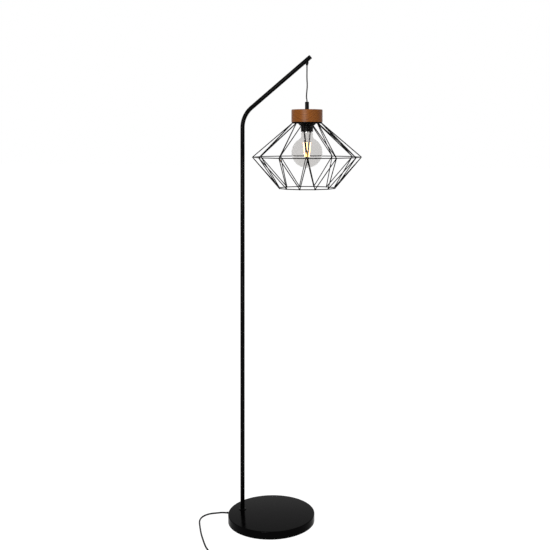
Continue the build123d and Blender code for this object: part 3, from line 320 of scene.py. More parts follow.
finishes = {name: finishMaterial(name, look) for name, look in looks.items()}
finishes["walnut"] = walnutMaterial()
finishes["cord_grey"] = braidMaterial()
for name, glass in glasses.items():
    finishes[name] = glassMaterial(name, glass)
finishes["glow"] = glowMaterial()
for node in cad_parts.values():
    slotName = node.data.materials[0].name.split(".")[0]
    node.data.materials[0] = finishes[slotName]
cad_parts["bulb_stem"].data.materials[0] = finishes["stemGlass"]
print("finishes made")


def deselectAll():
    bpy.ops.object.select_all(action="DESELECT")


def selectMesh():
    bpy.ops.mesh.select_all(action="SELECT")


def setMode(mode):
    bpy.ops.object.mode_set(mode=mode)


def applyPlace():
    bpy.ops.object.transform_apply(location=True, rotation=True, scale=True)


def finishPiece(piece, name, body, slot, replaced=(), smooth=35, finish=None):
    # Puts the piece's place into its mesh, and ties it to the lamp. It looks as its slot says,
    # unless another finish is named.
    deselectAll()
    piece.select_set(True)
    bpy.context.view_layer.objects.active = piece
    if piece.type == "MESH":
        applyPlace()
        bpy.ops.object.shade_smooth_by_angle(angle=math.radians(smooth))
    piece.name = name
    piece.data.name = name
    piece.data.materials.clear()
    piece.data.materials.append(finishes[finish or slot])
    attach(piece, body)
    if replaced:
        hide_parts(*replaced)
    return piece


def applyModifier(piece, kind, settings):
    modifier = piece.modifiers.new(kind.lower(), kind)
    for key, value in settings.items():
        setattr(modifier, key, value)
    bpy.context.view_layer.objects.active = piece
    bpy.ops.object.modifier_apply(modifier=modifier.name)


def bevelEdges(piece, width, segments=3):
    # Rounds the edges where faces meet at more than 30 degrees.
    applyModifier(piece, "BEVEL", {"width": width, "segments": segments,
                                   "limit_method": "ANGLE", "angle_limit": math.radians(30)})


def arcPoints(centre, radius, startAngle, endAngle, steps):
    # Points of a round part of an outline, angles in degrees from the outward direction.
    points = []
    for number in range(steps + 1):
        angle = math.radians(startAngle + (endAngle - startAngle) * number / steps)
        points.append((centre[0] + radius * math.cos(angle),
                       centre[1] + radius * math.sin(angle)))
    return points


def startVertex(place):
    # A single vertex, in edit mode, to extrude an outline from.
    deselectAll()
    bpy.ops.mesh.primitive_plane_add(size=0.001, location=place)
    setMode("EDIT")
    bpy.ops.mesh.select_mode(type="VERT")
    selectMesh()
    bpy.ops.mesh.merge(type="CENTER")
    return bpy.context.object


def extrudeOutline(points):
    for before, after in zip(points, points[1:]):
        step = (after[0] - before[0], 0, after[1] - before[1])
        bpy.ops.mesh.extrude_region_move(TRANSFORM_OT_translate={"value": step})


def mergePoints():
    selectMesh()
    bpy.ops.mesh.remove_doubles(threshold=mergeGap)


def faceOutwards():
    bpy.ops.mesh.normals_make_consistent(inside=False)


def turnedPiece(outline, place, sides, closed=True):
    # Extrudes half of the outline as (radius, height) points, and spins it round an upright axis.
    points = list(outline) + [outline[0]] * closed
    radius, height = points[0]
    piece = startVertex((place[0] + radius, place[1], height))
    extrudeOutline(points)
    selectMesh()
    bpy.ops.mesh.spin(steps=sides, angle=2 * math.pi, center=(*place, 0), axis=(0, 0, 1))
    mergePoints()
    faceOutwards()
    setMode("OBJECT")
    bpy.ops.object.transform_apply(location=True, rotation=False, scale=False)
    return piece


def threadPiece(tooth, place, foot, pitch, turns, steps=48):
    # One tooth's closed outline of (radius, height) points, wound upwards by the Screw modifier.
    piece = startVertex((*place, foot))
    bpy.ops.transform.translate(value=(tooth[0][0], 0, tooth[0][1]))
    extrudeOutline([*tooth, tooth[0]])
    mergePoints()
    setMode("OBJECT")
    applyModifier(piece, "SCREW", {
        "axis": "Z", "angle": 2 * math.pi, "screw_offset": pitch, "iterations": turns,
        "steps": steps, "render_steps": steps, "use_merge_vertices": True,
    })
    setMode("EDIT")
    mergePoints()
    bpy.ops.mesh.fill_holes(sides=0)
    faceOutwards()
    setMode("OBJECT")
    return piece


def blockPiece(size, place, turn=0):
    deselectAll()
    bpy.ops.mesh.primitive_cube_add(size=1, location=place, rotation=(0, 0, turn))
    piece = bpy.context.object
    piece.scale = size
    applyPlace()
    return piece


def joinPieces(pieces):
    deselectAll()
    for piece in pieces:
        piece.select_set(True)
    bpy.context.view_layer.objects.active = pieces[0]
    bpy.ops.object.join()
    return bpy.context.object


def selectFaces(piece, chosen):
    # Selects the faces that a test on centre and normal picks, and goes into edit mode.
    deselectAll()
    piece.select_set(True)
    bpy.context.view_layer.objects.active = piece
    setMode("EDIT")
    bpy.ops.mesh.select_mode(type="FACE")
    bpy.ops.mesh.select_all(action="DESELECT")
    setMode("OBJECT")
    for face in piece.data.polygons:
        face.select = chosen(piece.matrix_world @ face.center, face.normal)
    setMode("EDIT")


def cordPiece(name, points, diameter, body, slot, replaced):
    # The points are a smooth line's control points: it touches the first and the last.
    curve = bpy.data.curves.new(name, "CURVE")
    curve.dimensions = "3D"
    curve.bevel_depth = diameter / 2
    curve.bevel_resolution = 5     # roundness of the cord's section
    curve.resolution_u = 6         # steps from one point to the next
    curve.use_fill_caps = True
    spline = curve.splines.new("NURBS")
    spline.points.add(len(points) - 1)
    for point, place in zip(spline.points, points):
        point.co = (*place, 1)
    spline.order_u = 3
    spline.use_endpoint_u = True
    piece = bpy.data.objects.new(name, curve)
    bpy.context.scene.collection.objects.link(piece)
    return finishPiece(piece, name, body, slot, replaced)


# Mains cord. Heights of its centre line: in the bushing, on the floor, in the switch, on the coil
bushingZ, floorZ, switchZ, coilZ = 0.0065, 0.0026, 0.007, 0.00685
mains = {"diameter": 0.005, "exit": (-0.147, 0, bushingZ), "switchExit": (-0.011, -0.27, switchZ)}
insideRoute = [
    (-0.04, 0.018, bushingZ), (-0.064, 0.018, bushingZ), (-0.09, 0.011, bushingZ),
    (-0.114, 0, bushingZ), (-0.122, 0, bushingZ),
]
leadRoute = [
    (-0.122, 0, bushingZ), (-0.158, 0, 0.0064), (-0.178, -0.0015, floorZ),
    (-0.2, -0.013, floorZ), (-0.214, -0.036, floorZ), (-0.2135, -0.066, floorZ),
    (-0.196, -0.104, floorZ), (-0.172, -0.152, floorZ), (-0.146, -0.196, floorZ),
    (-0.122, -0.234, floorZ), (-0.099, -0.258, 0.0042), (-0.077, -0.27, switchZ),
    (-0.0662, -0.27, switchZ),
]
switchRoute = [
    (-0.0158, -0.27, switchZ), (0, -0.27, switchZ), (0.016, -0.279, 0.005),
    (0.032, -0.293, floorZ), (0.047, -0.293, floorZ),
]
plugRoute = [
    (0.09875, -0.244, coilZ), (0.09875, -0.233, coilZ), (0.106, -0.219, 0.0056),
    (0.119, -0.211, coilZ), (0.132, -0.211, coilZ),
]
coil = {
    "centre": (0.06, -0.253), "outer": 0.0405, "inner": 0.0205, "topOuter": 0.0385,
    "lower": 4.0, "step": 0.25, "upper": 3.0,     # turns: lower layer, climb, upper layer
    "each": 16, "start": -90,                     # points in a turn, and the first one's angle
}


def coilTurns():
    # Two layers: the lower one winds inwards and the upper one outwards, in its grooves.
    upper = coil["step"] + coil["upper"]
    tighten = 1 / math.cos(math.pi / coil["each"]) ** 0.5     # the line cuts inside its points
    points = []
    for number in range(1, round((coil["lower"] + upper) * coil["each"])):
        turns = number / coil["each"]
        if turns <= coil["lower"]:
            radius = coil["outer"] + (coil["inner"] - coil["outer"]) * turns / coil["lower"]
            height = floorZ
        else:
            climb = turns - coil["lower"]
            radius = coil["inner"] + (coil["topOuter"] - coil["inner"]) * climb / upper
            height = min(coilZ, floorZ + (coilZ - floorZ) * climb / coil["step"])
        angle = math.radians(coil["start"]) + 2 * math.pi * turns
        reach = radius * tighten
        points.append((coil["centre"][0] + reach * math.cos(angle),
                       coil["centre"][1] + reach * math.sin(angle), height))
    return points


# The pendant cord hangs in slight waves, and goes straight into the grip: offset and height
hanging = {
    "diameter": 0.004,
    "route": [(0, 1.4094), (0, 1.392), (-0.0003, 1.372), (0.0012, 1.349), (-0.0008, 1.329),
              (-0.0019, 1.314), (0, 1.3035), (0, 1.298), (0, 1.2427)],
}
pendantRoute = [(pendantX + offset, 0, height) for offset, height in hanging["route"]]

cordPiece("leadInBase", insideRoute, mains["diameter"], "stand", "cord_black", ["mains_cord"])
lead = cordPiece("mainsLead", leadRoute, mains["diameter"], "stand", "cord_black",
                 ["mains_cord"])
spareCord = cordPiece("spareCord", switchRoute + coilTurns() + plugRoute, mains["diameter"],
                      "stand", "cord_black", ["switch_cord", "cord_coil", "plug_cord"])
pendant = cordPiece("pendantCord", pendantRoute, hanging["diameter"], "hanger", "cord_grey",
                    ["pendant_cord"])
print("cords laid")

# Light, floor and background
lamps = {
    "window": {"place": (0, -2.75, 1.5), "aim": (0, 0, 1.15), "size": (0.7, 1.25), "power": 62},
    "fill": {"place": (2.6, -1.4, 1.6), "aim": (0, 0, 0.9), "size": (2, 2), "power": 8},
    "top": {"place": (0.2, 0.5, 3.2), "aim": (0, 0, 0.8), "size": (2, 2), "power": 14},
}
for name, lamp in lamps.items():
    light = bpy.data.lights.new(name, "AREA")
    light.shape = "RECTANGLE"
    light.size, light.size_y = lamp["size"]
    light.energy = lamp["power"]
    holder = bpy.data.objects.new(name, light)
    holder.location = lamp["place"]
    direction = Vector(lamp["aim"]) - Vector(lamp["place"])
    holder.rotation_euler = direction.to_track_quat("-Z", "Y").to_euler()
    bpy.context.scene.collection.objects.link(holder)


def seenDirectly(nodes, links):
    # One for rays from the camera, from reflections and through glass.
    path = nodes.new("ShaderNodeLightPath").outputs
    mirrored = mathNode(nodes, links, "MAXIMUM", path["Is Camera Ray"], path["Is Glossy Ray"])
    return mathNode(nodes, links, "MAXIMUM", mirrored, path["Is Transmission Ray"])


# White all round: its light on the object, and its level where it is seen
surroundings = {"ambient": 0.22, "seen": 1.0}
world = bpy.data.worlds.new("studio")
world.use_nodes = True
bpy.context.scene.world = world
nodes, links = world.node_tree.nodes, world.node_tree.links
backdrop = nodes["Background"]
setInputs(backdrop, {"Color": (1, 1, 1, 1)})
brightness = nodes.new("ShaderNodeMapRange")
setInputs(brightness, {"To Min": surroundings["ambient"], "To Max": surroundings["seen"]})
links.new(seenDirectly(nodes, links), brightness.inputs["Value"])
links.new(brightness.outputs["Result"], backdrop.inputs["Strength"])

# The floor glows white where it is seen, and keeps a share of paint that takes shadows.
ground = {
    "size": 60, "level": -0.0004, "paint": (0.85, 0.85, 0.85), "roughness": 0.9,
    "glow": 1.34, "glowShare": 0.72,
}
deselectAll()
bpy.ops.mesh.primitive_plane_add(size=ground["size"], location=(0, 0, ground["level"]))
floor = bpy.context.object
floor.name = "floor"
floorPaint, nodes, links, shader = newMaterial("floorPaint")
setInputs(shader, {"Base Color": (*ground["paint"], 1), "Roughness": ground["roughness"],
                   "Specular IOR Level": 0})
lit = nodes.new("ShaderNodeEmission")
setInputs(lit, {"Strength": ground["glow"]})
mix = nodes.new("ShaderNodeMixShader")
share = mathNode(nodes, links, "MULTIPLY", seenDirectly(nodes, links), ground["glowShare"])
links.new(share, mix.inputs["Fac"])
links.new(shader.outputs["BSDF"], mix.inputs[1])
links.new(lit.outputs["Emission"], mix.inputs[2])
links.new(mix.outputs["Shader"], nodes["Material Output"].inputs["Surface"])
floor.data.materials.append(floorPaint)
print("stage set")

# Base cover: spun steel shell with a rolled edge
base = {"radius": 0.134, "height": 0.024, "roll": 0.0025, "wall": 0.0012, "foot": 0.001,
        "sides": 192}
rollCentre = (base["radius"] - base["roll"], base["height"] - base["roll"])
coverOutline = [
    (0, base["height"]),
    *arcPoints(rollCentre, base["roll"], 90, 0, steps=8),
    (base["radius"], base["foot"]),
    (base["radius"] - base["wall"], base["foot"]),
    (base["radius"] - base["wall"], base["height"] - base["wall"]),
    (0, base["height"] - base["wall"]),
]
coverPiece = turnedPiece(coverOutline, (0, 0), base["sides"])
finishPiece(coverPiece, "baseCover", "stand", "black_paint", ["base_cover"], finish="coverPaint")

# Collar at the foot of the pole
collar = {"radius": 0.0115, "bore": 0.0055, "foot": 0.024, "height": 0.0022, "slant": 0.0007,
          "edge": 0.00015, "sides": 64}
collarTop = collar["foot"] + collar["height"]
collarOutline = [
    (collar["bore"], collar["foot"]),
    (collar["radius"], collar["foot"]),
    (collar["radius"], collarTop - collar["slant"]),
    (collar["radius"] - collar["slant"], collarTop),
    (collar["bore"], collarTop),
]
collarPiece = turnedPiece(collarOutline, (poleX, 0), collar["sides"])
bevelEdges(collarPiece, collar["edge"], segments=2)
finishPiece(collarPiece, "footCollar", "stand", "black_paint", ["foot_collar"])
print("base made")

# Pole: tubes extruded from a circle, with a small chamfer at each end that shows the seams
pole = {
    "diameter": 0.0135, "wall": 0.001, "chamfer": 0.00035, "sides": 48,
    "names": (("lowerTube", "lower_tube"), ("middleTubeLow", "middle_tube_1"),
              ("middleTubeHigh", "middle_tube_2")),
    "seams": (0.0262, 0.3788, 0.7562, 1.1336),
    "corner": 1.2592, "bend": 0.08, "bendSteps": 36,     # where pole and arm would meet unbent
    "slope": 38.93, "reach": 0.2217,                     # arm's angle, and length on the level
}
# Arm's end plug, its edge rounded
endCap = {"radius": 0.00675, "flange": 0.0012, "plug": 0.0057, "depth": 0.007, "edge": 0.0004,
          "sides": 48}


def tubeStart(height):
    deselectAll()
    bpy.ops.mesh.primitive_circle_add(vertices=pole["sides"], radius=pole["diameter"] / 2,
                                      location=(poleX, 0, height))
    setMode("EDIT")
    selectMesh()
    return bpy.context.object


def extrudeBy(step):
    bpy.ops.mesh.extrude_region_move(TRANSFORM_OT_translate={"value": step})


def tubeFinish(piece, name, node):
    selectMesh()
    faceOutwards()
    setMode("OBJECT")
    applyModifier(piece, "SOLIDIFY", {"thickness": pole["wall"], "offset": -1})
    bevelEdges(piece, pole["chamfer"], segments=2)
    finishPiece(piece, name, "stand", "black_paint", [node])


for (name, node), foot, top in zip(pole["names"], pole["seams"], pole["seams"][1:]):
    tube = tubeStart(foot)
    extrudeBy((0, 0, top - foot))
    tubeFinish(tube, name, node)

slope = math.radians(pole["slope"])
turnAngle = math.pi / 2 - slope
tangent = pole["bend"] * math.tan(turnAngle / 2)
bendFoot = pole["corner"] - tangent
armFoot = pole["seams"][-1]
armRun = pole["reach"] / math.cos(slope) - endCap["flange"] - tangent
uphill = Vector((math.cos(slope), 0, math.sin(slope)))
arm = tubeStart(armFoot)
extrudeBy((0, 0, bendFoot - armFoot))
bpy.ops.mesh.spin(steps=pole["bendSteps"], angle=turnAngle,
                  center=(poleX + pole["bend"], 0, bendFoot), axis=(0, -1, 0))
extrudeBy(uphill * armRun)
tubeFinish(arm, "armTube", "arm_tube")

endCapOutline = [
    (0, -endCap["depth"]), (endCap["plug"], -endCap["depth"]), (endCap["plug"], 0),
    (endCap["radius"], 0), (endCap["radius"], endCap["flange"]), (0, endCap["flange"]),
]
endCapPiece = turnedPiece(endCapOutline, (0, 0), endCap["sides"], closed=False)
bevelEdges(endCapPiece, endCap["edge"])
endCapPiece.rotation_euler = (0, turnAngle, 0)
endCapPiece.location = Vector((poleX, 0, pole["corner"])) + uphill * (tangent + armRun)
finishPiece(endCapPiece, "armEndCap", "stand", "black_plastic", ["arm_end_cap"])

# Bush under the arm, tapering down to the cord
grommet = {"tip": 1.4113, "tipRadius": 0.0028, "topRadius": 0.005, "taperTop": 1.4185,
           "top": 1.4235, "bore": 0.0021, "mouth": 0.0024, "flare": 0.0012, "edge": 0.00015,
           "sides": 48}
grommetOutline = [
    (grommet["mouth"], grommet["tip"]), (grommet["tipRadius"], grommet["tip"]),
    (grommet["topRadius"], grommet["taperTop"]), (grommet["topRadius"], grommet["top"]),
    (grommet["bore"], grommet["top"]), (grommet["bore"], grommet["tip"] + grommet["flare"]),
]
grommetPiece = turnedPiece(grommetOutline, (pendantX, 0), grommet["sides"])
bevelEdges(grommetPiece, grommet["edge"])
finishPiece(grommetPiece, "cordBush", "stand", "black_plastic", ["arm_grommet"])

# The cord's first few millimetres: a rounded end that turns in the bush's mouth
neck = {"radius": 0.00204, "pivot": 1.4096, "foot": 1.4082, "edge": 0.0003, "sides": 32}
neckOutline = [
    (0, neck["foot"]), (neck["radius"] - neck["edge"], neck["foot"]),
    (neck["radius"], neck["foot"] + neck["edge"]),
    *arcPoints((0, neck["pivot"]), neck["radius"], 0, 90, steps=12),
]
neckPiece = turnedPiece(neckOutline, (pendantX, 0), neck["sides"])
finishPiece(neckPiece, "cordNeck", "neck", "cord_grey", ["cord_neck"])
print("pole and arm made")

# Wooden cap: turned drum, hollow below
cap = {"radius": 0.048, "foot": 1.2375, "top": 1.276, "recess": 0.026, "roof": 0.008,
       "bore": 0.0052, "round": 0.0025, "chamfer": 0.0006, "sides": 128}
capRound = (cap["radius"] - cap["round"], cap["top"] - cap["round"])
capOutline = [
    (cap["bore"], cap["top"]),
    *arcPoints(capRound, cap["round"], 90, 0, steps=10),
    (cap["radius"], cap["foot"] + cap["chamfer"]),
    (cap["radius"] - cap["chamfer"], cap["foot"]),
    (cap["recess"], cap["foot"]),
    (cap["recess"], cap["top"] - cap["roof"]),
    (cap["bore"], cap["top"] - cap["roof"]),
]
capPiece = turnedPiece(capOutline, (pendantX, 0), cap["sides"])
finishPiece(capPiece, "woodCap", "shade", "walnut", ["wood_cap"])

# Lamp holder: tapered ring with finger notches, and the threaded skirt that it runs on
ring = {"plate": 1.236, "rim": 0.029, "rimDepth": 0.0022, "flankFoot": 0.0235, "slant": 0.0015,
        "foot": 0.022, "height": 0.0095, "bore": 0.0193, "edge": 0.00025,
        "notches": 16, "margin": 0.0005, "notchDepth": 0.0011, "facesPerNotch": 6}
ringFoot = ring["plate"] - ring["height"]
flankFoot, flankTop = ringFoot + ring["slant"], ring["plate"] - ring["rimDepth"]
ringOutline = [
    (ring["bore"], ring["plate"]), (ring["rim"], ring["plate"]), (ring["rim"], flankTop),
    (ring["flankFoot"], flankFoot), (ring["foot"], ringFoot), (ring["bore"], ringFoot),
]
ringSides = ring["notches"] * ring["facesPerNotch"]
shadeRing = turnedPiece(ringOutline, (pendantX, 0), ringSides)


def inNotch(centre, normal):
    # The sloping flank, half of each notch's faces round the axis.
    turn = math.atan2(centre.y, centre.x - pendantX) % (2 * math.pi)
    onFlank = flankFoot < centre.z < flankTop and normal.z < -0.3
    number = int(turn / (2 * math.pi) * ringSides) % ring["facesPerNotch"]
    return onFlank and number < ring["facesPerNotch"] / 2


selectFaces(shadeRing, inNotch)
bpy.ops.mesh.inset(thickness=ring["margin"], depth=-ring["notchDepth"])
setMode("OBJECT")
bevelEdges(shadeRing, ring["edge"], segments=2)
finishPiece(shadeRing, "shadeRing", "shade", "black_bakelite", ["shade_ring"])

skirt = {"foot": 1.2074, "top": 1.246, "core": 0.0187, "crest": 0.01925, "bore": 0.01765,
         "mouth": 0.0006, "lip": 0.0014, "lipTop": 0.0018, "sides": 96,
         "pitch": 0.0032, "turns": 9, "threadFoot": 0.0022}
skirtTooth = {"sunk": 0.0002, "crestFoot": 0.0009, "crestTop": 0.0015, "height": 0.0024}
mouthCentre = (skirt["crest"] - skirt["mouth"], skirt["foot"] + skirt["mouth"])
skirtOutline = [
    (skirt["bore"], skirt["top"]), (skirt["core"], skirt["top"]),
    (skirt["core"], skirt["foot"] + skirt["lipTop"]),
    (skirt["crest"], skirt["foot"] + skirt["lip"]),
    *arcPoints(mouthCentre, skirt["mouth"], 0, -90, steps=5),
    (skirt["bore"], skirt["foot"]),
]
skirtToothOutline = [
    (skirt["core"] - skirtTooth["sunk"], 0),
    (skirt["crest"], skirtTooth["crestFoot"]), (skirt["crest"], skirtTooth["crestTop"]),
    (skirt["core"] - skirtTooth["sunk"], skirtTooth["height"]),
]
skirtPiece = joinPieces([
    turnedPiece(skirtOutline, (pendantX, 0), skirt["sides"]),
    threadPiece(skirtToothOutline, (pendantX, 0), skirt["foot"] + skirt["threadFoot"],
                skirt["pitch"], skirt["turns"]),
])
finishPiece(skirtPiece, "holderSkirt", "shade", "black_bakelite", ["holder_skirt"])
print("lamp holder made")

# Weld beads where the cage's wires meet, each a small flattened drop, fused round the corner
weld = {
    "radius": 0.0021, "squash": (0.8, 1.15, 1), "inset": 0.0004, "unevenness": 0.00012,
    "corners": 12,
    "rings": [     # radius, height and first angle of each ring of corners
        (0.046, 1.2345, 31.4), (0.1675, 1.1295, 16.4), (0.0875, 1.0345, 31.4),
    ],
}


def weldBead(radius, height, angle):
    deselectAll()
    turn = math.radians(angle)
    reach = radius - weld["inset"]
    place = (pendantX + reach * math.cos(turn), reach * math.sin(turn), height)
    bpy.ops.mesh.primitive_ico_sphere_add(subdivisions=3, radius=weld["radius"], location=place)
    bead = bpy.context.object
    bead.scale = weld["squash"]
    bead.rotation_euler = (0, 0, turn)
    setMode("EDIT")
    selectMesh()
    bpy.ops.transform.vertex_random(offset=weld["unevenness"], uniform=0.3, normal=0.7,
                                    seed=round(angle) + round(radius * 1000))
    setMode("OBJECT")
    return bead


beads = [weldBead(radius, height, first + 360 / weld["corners"] * number)
         for radius, height, first in weld["rings"] for number in range(weld["corners"])]
finishPiece(joinPieces(beads), "weldBeads", "shade", "black_paint", smooth=80)
print("cage welds made")

# Bulb: blown globe that flows into its neck
bulb = {"centre": 1.1439, "globe": 0.0475, "neck": 0.01825, "blend": 0.012, "shoulder": 0.005,
        "top": 1.2064, "mouth": 0.0124, "wall": 0.001, "sides": 96}
blendReach = bulb["neck"] + bulb["blend"]
blendRise = math.sqrt((bulb["globe"] + bulb["blend"]) ** 2 - blendReach ** 2)
blendCentre = (blendReach, bulb["centre"] + blendRise)
globeEnd = math.degrees(math.atan2(blendCentre[1] - bulb["centre"], blendCentre[0]))
shoulderCentre = (bulb["neck"] - bulb["shoulder"], bulb["top"] - bulb["shoulder"])
globeOutline = [
    *arcPoints((0, bulb["centre"]), bulb["globe"], -90, globeEnd, steps=40),
    *arcPoints(blendCentre, bulb["blend"], 180 + globeEnd, 180, steps=10)[1:],
    *arcPoints(shoulderCentre, bulb["shoulder"], 0, 90, steps=8),
    (bulb["mouth"], bulb["top"]),
]
globePiece = turnedPiece(globeOutline, (pendantX, 0), bulb["sides"], closed=False)
applyModifier(globePiece, "SOLIDIFY", {"thickness": bulb["wall"], "offset": -1})
finishPiece(globePiece, "bulbGlobe", "bulb", "clear_glass", ["bulb_glass"], smooth=60)

# The bulb's metal cap: a thin shell, and a round thread
screw = {"foot": 1.20645, "top": 1.22745, "core": 0.0126, "crest": 0.0132, "wall": 0.0004,
         "crown": 0.0025, "crownRadius": 0.0102, "rim": 0.0016, "rimTop": 0.0022,
         "innerTop": 0.0024, "sides": 72, "pitch": 0.0036, "turns": 4, "threadFoot": 0.0026}
screwTooth = {"sunk": 0.0001, "depth": 0.0006, "round": 0.0012, "height": 0.0024}
screwInner = screw["core"] - screw["wall"]
crownFoot = screw["top"] - screw["crown"]
screwOutline = [
    (screw["crest"] - screw["wall"], screw["foot"]), (screw["crest"], screw["foot"]),
    (screw["crest"], screw["foot"] + screw["rim"]),
    (screw["core"], screw["foot"] + screw["rimTop"]),
    (screw["core"], crownFoot), (screw["crownRadius"], screw["top"]),
    (screw["crownRadius"] - screw["wall"], screw["top"]),
    (screwInner, crownFoot - screw["wall"] / 2), (screwInner, screw["foot"] + screw["innerTop"]),
]
toothCentre = (screw["core"] - screwTooth["depth"], screwTooth["round"])
screwToothOutline = [
    (screw["core"] - screwTooth["sunk"], 0),
    *arcPoints(toothCentre, screwTooth["round"], -60, 60, steps=8),
    (screw["core"] - screwTooth["sunk"], screwTooth["height"]),
]
screwPiece = joinPieces([
    turnedPiece(screwOutline, (pendantX, 0), screw["sides"]),
    threadPiece(screwToothOutline, (pendantX, 0), screw["foot"] + screw["threadFoot"],
                screw["pitch"], screw["turns"]),
])
finishPiece(screwPiece, "bulbCap", "bulb", "bulb_metal", ["bulb_cap"])
print("bulb made")

# Strain relief at the back of the base, ribbed so that it bends with the cord
bush = {
    "axis": bushingZ, "inner": -0.126, "bore": 0.00255, "tongue": 0.0037, "flange": 0.0044,
    "flangeStart": 0.0049, "flangeEnd": 0.0065, "ribStart": 0.008, "tip": 0.021,
    "tipRadius": 0.003, "ribs": 5, "groove": 0.00055, "edge": 0.00012, "sides": 48,
    "crestEnd": 0.35, "grooveStart": 0.5, "grooveEnd": 0.85,     # shares of one rib's length
    "step": 0.0001,                                              # how much lower each rib ends
}


def ribbedOutline(shape):
    # Outline of a sleeve along its axis: straight part, flange and tapering ribs.
    points = [(shape["bore"], 0), (shape["tongue"], 0), (shape["tongue"], shape["flangeStart"])]
    points += [(shape["flange"], shape["flangeStart"]), (shape["flange"], shape["flangeEnd"])]
    points += [(shape["tongue"], shape["flangeEnd"]), (shape["tongue"], shape["ribStart"])]
    run = (shape["tip"] - shape["ribStart"]) / shape["ribs"]
    for number in range(shape["ribs"]):
        start = shape["ribStart"] + run * number
        share = number / shape["ribs"]
        outer = shape["tongue"] + (shape["tipRadius"] - shape["tongue"]) * share
        inner = outer - shape["groove"]
        points += [(outer, start + run * shape["crestEnd"])]
        points += [(inner, start + run * shape["grooveStart"])]
        points += [(inner, start + run * shape["grooveEnd"])]
        points += [(outer - shape["step"], start + run)]
    return points + [(shape["bore"], shape["tip"])]


bushPiece = turnedPiece(ribbedOutline(bush), (0, 0), bush["sides"])
bevelEdges(bushPiece, bush["edge"], segments=2)
bushPiece.rotation_euler = (0, -math.pi / 2, 0)
bushPiece.location = (bush["inner"], 0, bush["axis"])
finishPiece(bushPiece, "cableBushing", "stand", "black_plastic", ["cable_bushing"])

# Foot switch: dished push button with two grip rings
button = {
    "place": (-0.041, -0.27), "radius": 0.0075, "top": 0.0175, "flange": 0.009,
    "flangeTop": 0.0129, "flangeFoot": 0.0114, "round": 0.001, "sides": 64,
    "face": [     # radius, and depth below the top
        (0.0058, 0), (0.0056, 0.0003), (0.0052, 0.0003), (0.005, 0.0001), (0.0042, 0.0002),
        (0.004, 0.0005), (0.0036, 0.0005), (0.0034, 0.0004), (0.0018, 0.0006), (0, 0.0007),
    ],
}
buttonRound = (button["radius"] - button["round"], button["top"] - button["round"])
buttonOutline = [
    (0, button["flangeFoot"]), (button["flange"], button["flangeFoot"]),
    (button["flange"], button["flangeTop"]), (button["radius"], button["flangeTop"]),
    *arcPoints(buttonRound, button["round"], 0, 90, steps=6),
    *[(radius, button["top"] - depth) for radius, depth in button["face"]],
]
buttonPiece = turnedPiece(buttonOutline, button["place"], button["sides"])
finishPiece(buttonPiece, "switchButton", "button", "black_plastic", ["switch_button"])

# Two-pin plug: block with a nose pulled out towards the cord, and grip ribs
plug = {
    "axis": (-0.211, coilZ), "back": 0.164, "shoulder": 0.137, "nose": 0.009,
    "width": 0.024, "height": 0.0137, "noseShare": (0.32, 0.62), "edge": 0.0022,
    "ribs": 5, "ribPitch": 0.0036, "ribFirst": 0.1435, "ribSize": (0.0016, 0.001, 0.0086),
    "ribEdge": 0.0004,
}
plugY, plugZ = plug["axis"]
plugPiece = blockPiece((plug["back"] - plug["shoulder"], plug["width"], plug["height"]),
                       ((plug["back"] + plug["shoulder"]) / 2, plugY, plugZ))
selectFaces(plugPiece, lambda centre, normal: normal.x < -0.9)
extrudeBy((-plug["nose"], 0, 0))
bpy.ops.transform.resize(value=(1, *plug["noseShare"]),
                         center_override=(plug["shoulder"] - plug["nose"], plugY, plugZ))
setMode("OBJECT")
bevelEdges(plugPiece, plug["edge"], segments=4)
ribs = []
for number in range(plug["ribs"]):
    for side in (-1, 1):
        ribX = plug["ribFirst"] + plug["ribPitch"] * number
        rib = blockPiece(plug["ribSize"], (ribX, plugY + side * plug["width"] / 2, plugZ))
        bevelEdges(rib, plug["ribEdge"], segments=2)
        ribs.append(rib)
finishPiece(joinPieces([plugPiece] + ribs), "plugBody", "stand", "black_plastic", ["plug_body"])

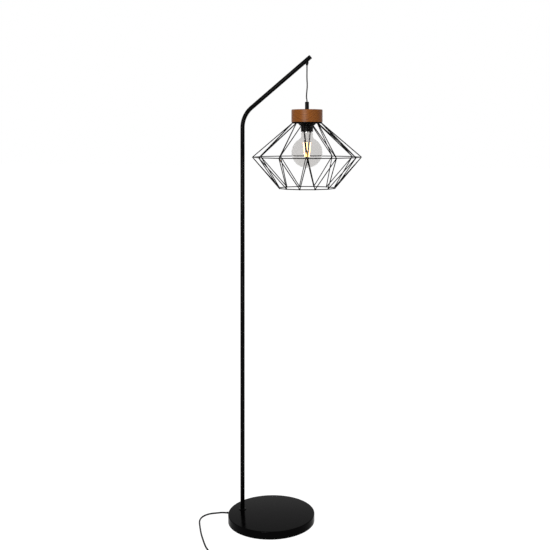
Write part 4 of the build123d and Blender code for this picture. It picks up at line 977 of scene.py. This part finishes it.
# The plug's pins: bare metal tips, sleeved up to half of their length
pin = {"radius": 0.002, "root": 0.1635, "tip": 0.183, "spread": 0.0093, "round": 0.0012,
       "sleeve": 0.1735, "sleeveRadius": 0.00192, "sleeveEdge": 0.0004, "overlap": 0.001,
       "metalRadius": 0.00186, "sides": 32}
pinFoot = pin["sleeve"] - pin["overlap"]
tipCentre = (pin["metalRadius"] - pin["round"], pin["tip"] - pin["round"])
pinOutline = [
    (0, pinFoot), (pin["metalRadius"], pinFoot),
    *arcPoints(tipCentre, pin["round"], 0, 80, steps=6), (0, pin["tip"]),
]
sleeveOutline = [
    (0, pin["root"]), (pin["radius"], pin["root"]),
    (pin["radius"], pin["sleeve"] - pin["sleeveEdge"]),
    (pin["sleeveRadius"], pin["sleeve"]), (0, pin["sleeve"]),
]
for outline, name, slot, replaced in ((pinOutline, "plugPins", "zinc_steel", ["plug_pins"]),
                                      (sleeveOutline, "pinSleeves", "black_plastic", [])):
    pair = []
    for side in (-1, 1):
        piece = turnedPiece(outline, (0, 0), pin["sides"])
        piece.rotation_euler = (0, math.pi / 2, 0)
        piece.location = (0, plugY + side * pin["spread"], plugZ)
        pair.append(piece)
    finishPiece(joinPieces(pair), name, "stand", slot, replaced)

# Two ties round the coil: a flat strap with a raised clasp on top
tie = {
    "angles": (75, 215), "width": 0.0206, "height": 0.0096, "corner": 0.0034,
    "strap": 0.0038, "wall": 0.0006, "clasp": (0.0062, 0.005, 0.0016), "claspEdge": 0.0004,
    "claspLift": 0.0004, "middle": 0.033, "perTurn": 0.005, "lift": 0.0047,
}
ties = []
for angle in tie["angles"]:
    turn = math.radians(angle)
    outward = Vector((math.cos(turn), math.sin(turn), 0))
    along = Vector((-math.sin(turn), math.cos(turn), 0))
    wound = (angle - coil["start"]) / 360     # share of a turn that the coil has wound by here
    reach = tie["middle"] - tie["perTurn"] * wound
    centre = Vector((*coil["centre"], tie["lift"])) + outward * reach
    deselectAll()
    bpy.ops.mesh.primitive_plane_add(size=1, location=centre, rotation=(math.pi / 2, 0, turn))
    loop = bpy.context.object
    loop.scale = (tie["width"], tie["height"], 1)
    applyPlace()
    setMode("EDIT")
    selectMesh()
    bpy.ops.mesh.delete(type="ONLY_FACE")
    selectMesh()
    bpy.ops.mesh.bevel(offset=tie["corner"], segments=5, affect="VERTICES")
    selectMesh()
    bpy.ops.transform.translate(value=along * (-tie["strap"] / 2))
    bpy.ops.mesh.extrude_edges_move(TRANSFORM_OT_translate={"value": along * tie["strap"]})
    selectMesh()
    faceOutwards()
    setMode("OBJECT")
    applyModifier(loop, "SOLIDIFY", {"thickness": tie["wall"], "offset": 0})
    claspPlace = centre + Vector((0, 0, tie["height"] / 2 + tie["claspLift"]))
    clasp = blockPiece(tie["clasp"], claspPlace, turn)
    bevelEdges(clasp, tie["claspEdge"], segments=2)
    ties += [loop, clasp]
finishPiece(joinPieces(ties), "coilTies", "stand", "black_plastic")
print("cord fittings made")
